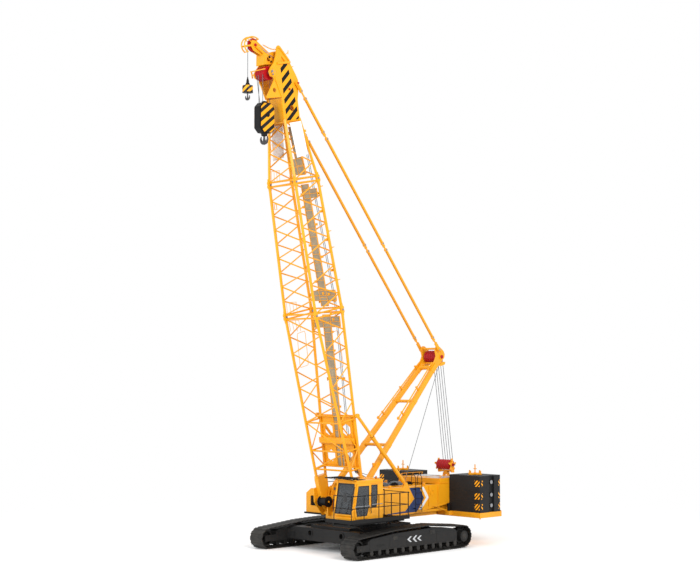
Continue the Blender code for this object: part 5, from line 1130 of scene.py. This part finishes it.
# rope guards beside the head's wheels, lugs, hoop struts, and the box that carries the jib
parts = []
for x0, x1, s, n in ((-0.80, -0.56, 21.28, 0.89), (0.56, 0.80, 21.19, 0.90)):
    parts.append(rod(boom(x0, s, n), boom(x1, s, n), 0.030, 12))
    x = x0 if x0 < 0 else x1
    parts.append(slab([(s - 0.15, n - 0.03), (s + 0.15, n - 0.03), (s + 0.15, n + 0.03), (s - 0.15, n + 0.03)],
                      x - 0.022, x + 0.022, boom_place, 0.006))
for n in (0.47, 1.14):
    parts.append(rod(boom(-0.52, HEAD_S + 0.20, n + 0.06), boom(0.52, HEAD_S + 0.20, n + 0.06), 0.026, 12))
for side in (-1.0, 1.0):
    parts.append(slab(circle(HEAD_S, HEAD_N, 0.190, 28), side * 0.558, side * 0.590, boom_place, 0.005))
    parts.append(slab([(21.58, 0.42), (21.68, 0.42), (21.68, -0.40), (21.58, -0.40)], side * 0.556, side * 0.640,
                      boom_place, 0.008))
    edge = [(22.43, 0.30), (22.47, 0.20), (22.42, 0.10), (21.72, -0.40), (21.66, -0.36), (22.30, 0.12),
            (22.36, 0.20), (22.33, 0.27)]
    parts.append(slab(edge, side * 0.556, side * 0.610, boom_place, 0.006))
    parts.append(rod(boom(side * 0.60, 22.02, -0.20), boom(side * 0.60, 22.10, -0.36), 0.016, 8))
    parts.append(rod(boom(side * 0.60, 22.01, -0.34), boom(side * 0.60, 22.19, -0.38), 0.018, 8))
    parts.append(slab([(20.03, 0.42), (20.03, 0.47), (20.60, 0.62), (21.00, 0.70), (21.02, 0.65), (20.62, 0.57)],
                      side * 0.556, side * 0.600, boom_place, 0.005))
    for along, rear in ((18.95, -0.53), (19.90, -0.53), (20.70, -0.66), (21.40, -0.66)):
        rib = [(along, rear), (along + 0.03, rear), (along + 0.03, 0.40), (along, 0.40)]
        parts.append(slab(rib, side * 0.44, side * 0.502, boom_place, 0.003))
    levels = sorted((side * 0.24, side * 0.27))
    parts.append(holed([(21.62, 0.40), (21.66, 0.98), (22.16, 0.87), (22.19, 0.40)], (21.90, 0.66), 0.130,
                       *levels, boom_place))
    parts.append(holed([(21.62, 0.40), (22.19, 0.40), (22.20, 0.30), (22.06, -0.10), (21.62, 0.02)], (21.92, 0.18),
                       0.120, *levels, boom_place))
    for s, n, radius in ((21.90, 0.66, 0.134), (21.92, 0.18, 0.124)):
        turns = 2 * np.pi * np.arange(18) / 18
        rim = [boom(side * 0.272, s + radius * math.cos(t), n + radius * math.sin(t)) for t in turns]
        parts.append(pipe(rim, 0.014, 6, True))
for s, n in ((21.70, 0.93), (22.12, 0.82), (22.14, 0.34)):
    parts.append(rod(boom(-0.26, s, n), boom(0.26, s, n), 0.028, 10))
parts.append(slab([(21.64, 0.99), (21.66, 1.015), (22.18, 0.895), (22.17, 0.87)], -0.27, 0.27, boom_place, 0.004))
lug = [(20.03, 0.44), (20.05, 1.36), (20.14, 1.37), (20.72, 0.88), (20.90, 0.74), (20.45, 0.56)]
parts.append(holed(lug, (20.39, 0.83), 0.110, 0.500, 0.560, boom_place))
piece("head_brackets", parts, YELLOW, "boom", 32.0)
# black discs on both sides of the box that carries the jib: painted shade that stands in for the dark inside of its
# openings
parts = []
for side in (-1.0, 1.0):
    for s, n, radius in ((21.98, 0.62, 0.062), (21.98, 0.16, 0.062), (21.76, 0.56, 0.048)):
        parts.append(slab(circle(s, n, radius, 18), side * 0.3305, side * 0.3345, boom_place, 0.001))
piece("head_box_openings_painted_shade", parts, BLACK, "boom", 32.0)

parts = []
for side in (-1.0, 1.0):
    x = side * 0.11
    for turn in np.radians((-46.0, 30.0, 90.0)):
        parts.append(rod(boom(x, JIB_S, JIB_N),
                         boom(x, JIB_S + 0.40 * math.cos(turn), 1.365 + 0.51 * math.sin(turn)), 0.021, 8))
    parts.append(slab(circle(JIB_S, JIB_N, 0.115, 24), side * 0.128, side * 0.165, boom_place, 0.006))
    turns = np.radians(np.linspace(-52.0, 134.0, 36))
    parts.append(pipe([boom(x, JIB_S + 0.405 * math.cos(t), 1.365 + 0.519 * math.sin(t)) for t in turns], 0.034, 8))
    parts.append(rod(boom(side * 0.20, 22.50, 1.16), boom(side * 0.26, 21.66, 0.30), 0.058, 14))
    parts.append(rod(boom(side * 0.195, 22.56, 1.22), boom(side * 0.205, 22.42, 1.08), 0.074, 14))
parts.append(rod(boom(-0.15, 22.33, 1.73), boom(0.15, 22.33, 1.73), 0.026, 10))
parts.append(rod(boom(-0.15, 22.88, 1.00), boom(0.15, 22.88, 1.00), 0.026, 10))
piece("jib_hoop_and_strut", parts, YELLOW, "boom", 32.0)
piece("jib_gas_strut",
      [rod(boom(0.24, 22.34, 0.86), boom(0.30, 21.70, 0.05), 0.022, 10),
       rod(boom(0.24, 22.52, 1.08), boom(0.24, 22.34, 0.86), 0.012, 8)],
      ZINC, "boom", 32.0)
route = smooth_path([boom(0.20, 22.58, 0.80), boom(0.25, 22.44, 0.58), boom(0.34, 22.33, 0.40),
                     boom(0.45, 22.30, 0.18), boom(0.56, 22.34, 0.05)], 15)
parts = []
for k, (here, after) in enumerate(zip(route[:-1], route[1:])):
    middle, ahead = (here + after) / 2.0, (after - here) / np.linalg.norm(after - here)
    across = np.cross(ahead, (1.0, 0.0, 0.0) if k % 2 else (0.0, 0.5, 1.0))
    across /= np.linalg.norm(across)
    reach = np.linalg.norm(after - here) * 0.66
    turns = 2 * np.pi * np.arange(14) / 14
    link = [middle + ahead * reach * math.cos(t) + across * 0.026 * math.sin(t) for t in turns]
    parts.append(pipe(link, 0.011, 6, True))
piece("jib_safety_chain", parts, YELLOW, "boom", 40.0)

# warning lamps
points, faces = turned([(0.02, 0.0), (0.045, 0.0), (0.045, 0.05), (0.03, 0.085), (0.01, 0.095)],
                       (0.0, 0.0, 0.0), "x", 18)
lamps = [(points + boom(*spot), faces) for spot in ((0.567, 20.36, -0.10), (0.700, 20.60, -0.60))]
piece("head_warning_lamps", lamps, RED, "boom", 30.0)

# pendant links and couplings
START, END = np.array(boom(0.0, 20.580, -0.600)), np.array((0.0, 5.120, 9.900))
AIM = (END - START) / np.linalg.norm(END - START)
ASIDE = np.array((0.0, -AIM[2], AIM[1]))
LENGTH = float(np.linalg.norm(END - START))


def stay_place(a, b, level):
    """Place function beside a pendant: along it from the boom's pin, across it, and out to the side."""
    a, b = np.asarray(a, float), np.asarray(b, float)
    return level, START[1] + AIM[1] * a + ASIDE[1] * b, START[2] + AIM[2] * a + ASIDE[2] * b


parts, pins = [], []
for side in (-1.0, 1.0):
    x = side * 0.640
    joints = (0.0, 0.42, 0.86, LENGTH * 0.17, LENGTH * 0.17 + 0.4, LENGTH * 0.58, LENGTH * 0.58 + 0.4,
              LENGTH * 0.95, LENGTH)
    for a in joints:
        parts.append(slab(circle(a, 0.0, 0.088, 20), x - 0.052, x + 0.052, stay_place, 0.008))
        pins.append(slab(circle(a, 0.0, 0.045, 14), x - 0.078, x + 0.078, stay_place, 0.006))
    for a, b in zip(joints[0::2], joints[1::2]):
        for level in (-0.046, 0.046):
            parts.append(slab([(a, -0.048), (b, -0.048), (b, 0.048), (a, 0.048)], x + level - 0.010,
                              x + level + 0.010, stay_place, 0.003))
piece("pendant_links", parts, YELLOW, "boom", 32.0)
piece("pendant_pins", pins, STEEL, "boom", 32.0)

# ---------------------------------------------------------------- mast
def leg_half(s):
    """Half the distance between the middles of the mast's legs, which lean together from their feet to their tops."""
    return 1.0 - 0.52 * (s - 0.25) / 8.30


parts = []
for side in (-1.0, 1.0):
    for low, high, half in ((0.25, 8.55, 0.120), (0.25, 0.62, 0.128), (2.90, 3.12, 0.130), (5.90, 6.12, 0.130),
                            (8.10, 8.60, 0.132)):
        rings = []
        for s in (low, high):
            x = side * leg_half(s)
            rings.append([mast(x + a, s, b) for a, b in rectangle(-half, -half, half, half, 0.022)])
        parts.append(loft(rings))
    eye = [(0.140 * math.cos(t), 0.140 * math.sin(t)) for t in np.radians(np.linspace(90.0, 270.0, 14))]
    for x0, x1 in ((0.926, 0.975), (1.025, 1.074)):
        parts.append(slab(eye + [(0.50, -0.120), (0.50, 0.120)], side * x0, side * x1, mast_place, 0.006))
    cheek = [(8.20, -0.18), (9.00, -0.20), (9.35, -0.22), (9.50, -0.12), (9.56, 0.05), (9.53, 0.30), (9.48, 0.50),
             (9.40, 0.61), (9.30, 0.64),
             (9.18, 0.62), (9.10, 0.56), (8.95, 0.30), (8.70, 0.22), (8.20, 0.18)]
    parts.append(slab(cheek, side * 0.470, side * 0.530, mast_place, 0.008))
    for s, n, radius in ((MAST_LENGTH, 0.0, 0.150), (9.30, 0.50, 0.095), (9.38, 0.20, 0.060)):
        parts.append(slab(circle(s, n, radius, 26), side * 0.528, side * 0.562, mast_place, 0.006))
    parts.append(slab([(8.75, -0.20), (9.10, -0.26), (9.25, -0.44), (9.12, -0.50), (8.85, -0.34)], side * 0.475,
                      side * 0.525, mast_place, 0.006))
    # long spare links that lie in brackets on the front of the leg
    s0, s1, lift = 4.55, 8.55, 0.30
    x0, x1 = (side * (leg_half(s) - 0.02) for s in (s0, s1))
    parts.append(rod(mast(x0, s0, lift), mast(x1, s1, lift - 0.06), 0.034, 10))
    parts.append(slab(circle(s0, lift, 0.085, 18), x0 - 0.030, x0 + 0.030, mast_place, 0.006))
    for s in (4.95, 6.70, 8.20):
        x = side * (leg_half(s) - 0.02)
        parts.append(slab(rectangle(s - 0.035, 0.10, s + 0.035, lift + 0.055), x - 0.048, x + 0.048,
                          mast_place, 0.006))
    for s in (1.55, 2.40):
        x = side * leg_half(s)
        parts.append(slab(rectangle(s - 0.09, 0.11, s + 0.09, 0.21), x - 0.030, x + 0.030, mast_place, 0.006))
        parts.append(slab(circle(s, 0.22, 0.055, 16), x - 0.036, x + 0.036, mast_place, 0.004))
for s, radius in ((3.0, 0.080), (6.0, 0.080), (8.4, 0.110)):
    half = leg_half(s)
    parts.append(rod(mast(-half, s), mast(half, s), radius, 18))
    for side in (-1.0, 1.0):
        parts.append(rod(mast(side * (half - 0.30), s), mast(side * (half - 0.10), s), radius, 18, radius * 1.35))
for s, n in ((9.30, 0.50), (8.86, -0.12)):
    parts.append(rod(mast(-0.48, s, n), mast(0.48, s, n), 0.055, 14))
made = piece("mast_legs_and_head", parts, YELLOW, "mast", 32.0)
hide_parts("mast")
sides, top = (-1.0, 1.0), MAST_LENGTH + 0.1
parts = [rod(mast(side * 0.860, 0.0), mast(side * 1.140, 0.0), 0.0695, 18) for side in sides]
parts += [rod(mast(side * 0.50, top, 0.50), mast(side * 0.60, top, 0.50), 0.045, 14) for side in sides]
piece("mast_pins", parts, STEEL, "mast", 32.0)
made = piece("mast_wheels",
             [grooved((0.0, MAST_Y, MAST_Z), 0.33, 0.40, 5, 0.07), axle((0.0, MAST_Y, MAST_Z), 0.059, 0.555, 0.095)],
             RED, "mast_sheave_pack", 30.0)
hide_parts("mast_sheaves")

# ---------------------------------------------------------------- luffing block
LUFF_Y, LUFF_Z = 6.305, 3.850
made = piece("luffing_wheels",
             [grooved((0.0, LUFF_Y, LUFF_Z), 0.265, 0.42, 5, 0.07), axle((0.0, LUFF_Y, LUFF_Z), 0.059, 0.535, 0.085)],
             RED, "luffing_sheave_pack", 30.0)
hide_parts("luffing_sheaves")
parts = []
for side in (-1.0, 1.0):
    for turn in np.radians((90.0, 18.0, 162.0, 234.0, 306.0)):
        tip = np.array((LUFF_Y + 0.30 * math.cos(turn), LUFF_Z + 0.30 * math.sin(turn)))
        wide = np.array((-math.sin(turn), math.cos(turn)))
        hub = np.array((LUFF_Y, LUFF_Z))
        parts.append(slab([hub - wide * 0.085, tip - wide * 0.040, tip + wide * 0.040, hub + wide * 0.085],
                          side * 0.482, side * 0.508, side_place, 0.004))
    parts.append(slab(circle(LUFF_Y, LUFF_Z, 0.120, 26), side * 0.480, side * 0.525, side_place, 0.006))
piece("luffing_star_cheeks", parts, YELLOW, "luffing_block", 32.0)
parts = [rod((0.54, LUFF_Y, LUFF_Z), (0.70, LUFF_Y, LUFF_Z), 0.022, 12),
         rod((-0.54, LUFF_Y, LUFF_Z), (-0.70, LUFF_Y, LUFF_Z), 0.022, 12)]
parts += [block((-0.30, 6.30, 3.47), (-0.14, 6.46, 3.56), 0.01), block((0.14, 6.30, 3.47), (0.30, 6.46, 3.56), 0.01)]
piece("luffing_block_fittings", parts, BLACK, "luffing_block", 32.0)

# ---------------------------------------------------------------- backstops
FOOT = np.array((0.0, 1.700, 3.120))
EYE = np.array(boom(0.0, 4.300, -boom_half(4.3)[1]))
LEANING = (EYE - FOOT) / np.linalg.norm(EYE - FOOT)
parts, seals = [], []
for side in (-1.0, 1.0):
    at = FOOT + (side * 1.420, 0.0, 0.0)
    for along, radius, length in ((0.24, 0.112, 0.06), (1.60, 0.108, 0.05), (3.26, 0.118, 0.13)):
        parts.append(rod(at + LEANING * along, at + LEANING * (along + length), radius, 24))
    across = np.cross(LEANING, (1.0, 0.0, 0.0))
    for along in (0.80, 2.60):
        parts.append(rod(at + LEANING * along + across * 0.10,
                         at + LEANING * (along + 0.02) + across * 0.22, 0.018, 8))
    seals.append(rod(at + LEANING * 3.391, at + LEANING * 3.412, 0.092, 24))
piece("backstop_collars", parts, YELLOW, "backstop_tubes", 32.0)
piece("backstop_seals", seals, RUBBER, "backstop_tubes", 32.0)

# ---------------------------------------------------------------- hook blocks
HOOK_DROP, SMALL_DROP = 1.970, 1.530         # how far each block's axle or top hangs below its wheel's axle
HOOK_Z = HEAD_Z - HOOK_DROP
HOOK_STRIPES = striped("hook_block_warning_stripes", "E9A015", "1A1A1B", (0.0, -0.62, 0.78), 0.165, 0.18)
SMALL_STRIPES = striped("small_block_warning_stripes", "E9A015", "1A1A1B", (-0.50, -0.50, 0.71), 0.110, 0.10)


def block_outline(grow):
    """Eight-cornered outline of the hook block's cheek, larger by grow all round."""
    y, z, half_y, half_z, cut_off = HEAD_Y, HOOK_Z - 0.150, 0.450 + grow, 0.720 + grow, 0.205
    return [(y - half_y + cut_off, z - half_z), (y + half_y - cut_off, z - half_z),
            (y + half_y, z - half_z + cut_off), (y + half_y, z + half_z - cut_off),
            (y + half_y - cut_off, z + half_z), (y - half_y + cut_off, z + half_z),
            (y - half_y, z + half_z - cut_off), (y - half_y, z - half_z + cut_off)]


parts, marks = [], []
for side in (-1.0, 1.0):
    parts.append(slab(block_outline(0.004), side * 0.150, side * 0.200, side_place, 0.010))
    parts.append(slab(block_outline(-0.030), side * 0.200, side * 0.244, side_place, 0.010))
    marks.append(slab(block_outline(-0.034), side * 0.2445, side * 0.2485, side_place, 0.001))
    parts.append(slab(circle(HEAD_Y, HOOK_Z, 0.120, 28), side * 0.244, side * 0.272, side_place, 0.006))
outer, inner = block_outline(-0.002), block_outline(-0.026)
order = (4, 3, 2, 1, 0, 7, 6, 5)
parts.append(slab([outer[k] for k in order] + [inner[k] for k in reversed(order)], -0.150, 0.150, side_place, 0.003))
parts.append(block((-0.10, HEAD_Y - 0.10, HOOK_Z + 0.52), (0.10, HEAD_Y + 0.10, HOOK_Z + 0.66), 0.012))
parts.append(turned([(0.055, -1.02), (0.13, -1.0), (0.15, -0.94), (0.15, -0.80), (0.055, -0.79)],
                    (0.0, HEAD_Y, HOOK_Z), "z", 24))
made = piece("hook_block_cheeks", parts, BLACK, "hook_block", 32.0)
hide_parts("hook_block")
piece("hook_block_stripes", marks, HOOK_STRIPES, "hook_block", 32.0)


def forged_hook(y, z, size, stem):
    """Two-horned hook: a round bar that thins towards both tips, under a round stem."""
    shape = ((0.070, stem - z), (0.070, 0.05 * size), (0.10, -0.12 * size), (0.13, -0.30 * size),
             (0.06, -0.40 * size))
    bodies = [turned([(radius * size, height) for radius, height in shape], (0.0, y, z), "z", 24)]
    for side in (-1.0, 1.0):
        curve = ((0.0, -0.27), (0.15, -0.27), (0.275, -0.18), (0.335, -0.03), (0.315, 0.09), (0.280, 0.165))
        line = smooth_path([(side * a * size, y, z + b * size) for a, b in curve], 25)
        radius = np.interp(np.linspace(0.0, 1.0, len(line)), (0.0, 0.25, 0.5, 0.8, 1.0),
                           (0.120, 0.105, 0.076, 0.046, 0.018)) * size
        bodies.append(pipe(line, radius, 16))
    return bodies


made = piece("main_hook_forging", forged_hook(HEAD_Y, HOOK_Z - 1.130, 0.72, HOOK_Z - 0.800), FORGED, "main_hook",
             40.0)
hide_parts("main_hook")
ROPE_Y, SMALL_Z = JIB_Y - 0.320, JIB_Z - SMALL_DROP - 0.620
barrel = [(0.04, 0.19), (0.244, 0.19), (0.25, 0.184), (0.25, -0.110), (0.244, -0.116), (0.04, -0.116)]
parts = [turned(barrel, (0.0, ROPE_Y, SMALL_Z), "z", 40)]
made = piece("small_block_drum", parts, SMALL_STRIPES, "auxiliary_block", 30.0)
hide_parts("auxiliary_block")
cone = [(0.026, 0.60), (0.034, 0.52), (0.060, 0.44), (0.066, 0.34), (0.115, 0.24), (0.135, 0.19)]
base = [(0.10, -0.116), (0.256, -0.116), (0.256, -0.142), (0.13, -0.158), (0.06, -0.160)]
parts = [turned(shape, (0.0, ROPE_Y, SMALL_Z), "z", 32) for shape in (cone, base)]
piece("small_block_cone", parts, BLACK, "auxiliary_block", 30.0)
made = piece("small_hook_forging", forged_hook(ROPE_Y, SMALL_Z - 0.340, 0.42, SMALL_Z - 0.161), FORGED,
             "auxiliary_hook", 40.0)
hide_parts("auxiliary_hook")

# ---------------------------------------------------------------- ropes
ROPE_RADIUS = 0.014
LEADS = (("main", 0.44, MAIN_Y), ("auxiliary", 0.54, AUXILIARY_Y))    # hoist rope, its x and its drum's y
piece("small_block_rope", [pipe([(0.0, ROPE_Y, JIB_Z), (0.0, ROPE_Y, SMALL_Z + 0.58)], ROPE_RADIUS, 8)], ROPE,
      "auxiliary_block", 40.0)
FALLS = ((-0.225, -0.12), (-0.075, -0.30), (0.225, -0.20))    # x at the head, and how far ahead of the axle each ends
falls = []
for x, y in FALLS:
    falls.append(pipe([(x, HEAD_Y - 0.30, HEAD_Z - 0.09), (x * 0.5, HEAD_Y + y, HOOK_Z + 0.20)], ROPE_RADIUS, 8))
falls += [pipe([(0.075, HEAD_Y + 0.29, HEAD_Z - 0.09), (0.075, HEAD_Y + 0.26, HOOK_Z + 0.20)], ROPE_RADIUS, 8)]
piece("main_hoist_falls", falls, ROPE, "hook_block", 40.0)
parts = []
for x, head_x in ((0.44, 0.225), (0.54, 0.030)):
    route = [boom(x, 1.60, -0.46), boom(x, 9.90, -boom_half(9.9)[1] - 0.20), boom(x, 18.30, -0.66),
             boom(head_x, 21.40, 0.55)]
    parts.append(pipe(route, ROPE_RADIUS, 8))
piece("hoist_ropes_on_boom", parts, ROPE, "boom", 40.0)
MODEL_SHIFT = np.array((0.0, SLEW, 0.0))
for name, x, drum_y in LEADS:
    start, end = (x, drum_y, 3.130), np.array(boom(x, 1.60, -0.46))
    piece(name + "_hoist_rope_lead", [pipe([start, end], ROPE_RADIUS, 8)], ROPE,
          ("upper", "boom", tuple(np.array(start) + MODEL_SHIFT), tuple(end + MODEL_SHIFT)), 40.0)
parts = []
for k in range(5):
    high_x, low_x = -0.320 + 0.160 * k, -0.336 + 0.168 * k
    parts.append(pipe([(low_x, LUFF_Y + 0.25, LUFF_Z), (high_x, MAST_Y + 0.31, MAST_Z)], ROPE_RADIUS, 8))
low, high = np.array((0.0, LUFF_Y, LUFF_Z)), np.array((0.0, MAST_Y, MAST_Z))
piece("luffing_ropes", parts, ROPE,
      ("upper", "mast", tuple(low + MODEL_SHIFT), tuple(high - (0.0, 0.0, 0.35) + MODEL_SHIFT)), 40.0)
start, end = np.array((0.34, 2.80, 3.115)), np.array(mast(0.32, 9.05, -0.30))
piece("luffing_rope_lead", [pipe([start, end], 0.013, 8)], ROPE,
      ("upper", "mast", tuple(start + MODEL_SHIFT), tuple(end + MODEL_SHIFT)), 40.0)

# ---------------------------------------------------------------- floor, light and camera
def floor_finish():
    """White floor that fades into the even white round it from 9 m to 30 m out."""
    made, tree, where = start_finish("pale_studio_floor")
    out = add(tree, "ShaderNodeVectorMath", "Value", {"operation": "LENGTH"}, i0=where)
    share = add(tree, RANGE, settings={"interpolation_type": "SMOOTHSTEP"}, i0=out, i1=9.0, i2=30.0)
    matt = add(tree, "ShaderNodeBsdfDiffuse", Color=(0.93, 0.93, 0.93, 1.0))
    clear = add(tree, "ShaderNodeBsdfTransparent")
    add(tree, "ShaderNodeOutputMaterial", Surface=add(tree, "ShaderNodeMixShader", i0=share, i1=matt, i2=clear))
    return made


FLOOR_RADIUS, FLOOR_CORNERS, FLOOR_Z = 40.0, 96, -0.002
turn = np.linspace(0.0, 2.0 * np.pi, FLOOR_CORNERS, endpoint=False)
ring = np.stack([FLOOR_RADIUS * np.cos(turn), FLOOR_RADIUS * np.sin(turn), np.full(FLOOR_CORNERS, FLOOR_Z)], -1)
mesh = bpy.data.meshes.new("studio_floor")
mesh.from_pydata(ring.tolist(), [], [list(range(FLOOR_CORNERS))])
mesh.materials.append(floor_finish())
studio_floor = bpy.data.objects.new("studio_floor", mesh)
bpy.context.scene.collection.objects.link(studio_floor)

world = bpy.data.worlds.new("even_white_surround")
world.use_nodes = True
world.node_tree.nodes.clear()
surround = add(world.node_tree, "ShaderNodeBackground", Color=(1.0, 1.0, 1.0, 1.0), Strength=1.0)
add(world.node_tree, "ShaderNodeOutputWorld", Surface=surround)
bpy.context.scene.world = world


def soft_light(name, place, aim, width, height, power, tone):
    """Area light of the given size at a place, turned to face a point."""
    lamp = bpy.data.lights.new(name, "AREA")
    lamp.shape, lamp.size, lamp.size_y = "RECTANGLE", width, height
    lamp.energy, lamp.color = power, tone
    holder = bpy.data.objects.new(name, lamp)
    holder.location = place
    holder.rotation_mode = "QUATERNION"
    holder.rotation_quaternion = (Vector(aim) - Vector(place)).to_track_quat("-Z", "Y")
    bpy.context.scene.collection.objects.link(holder)
    return holder


key = soft_light("key_light", (46.0, -14.0, 34.0), (0.0, 0.0, 8.0), 18.0, 18.0, 15000.0, (1.0, 0.98, 0.95))
fill = soft_light("fill_light", (2.0, -50.0, 22.0), (0.0, 0.0, 8.0), 26.0, 26.0, 11000.0, (0.96, 0.98, 1.0))

lens = bpy.data.cameras.new("camera")
# the camera looks up a little: its azimuth and height are the direction from its aim back to it
lens.lens, lens.sensor_width, lens.sensor_fit, lens.clip_end = 76.08, 36.0, "HORIZONTAL", 600.0
camera = bpy.data.objects.new("camera", lens)
azimuth, height = math.radians(45.353), math.radians(-2.989)
back = Vector((math.sin(azimuth) * math.cos(height), -math.cos(azimuth) * math.cos(height), math.sin(height)))
camera.location = (52.450, -52.595 + SLEW, 8.878)
camera.rotation_mode = "QUATERNION"
camera.rotation_quaternion = (-back).to_track_quat("-Z", "Y")
bpy.context.scene.collection.objects.link(camera)
bpy.context.scene.camera = camera
bpy.context.scene.view_settings.view_transform = "Standard"
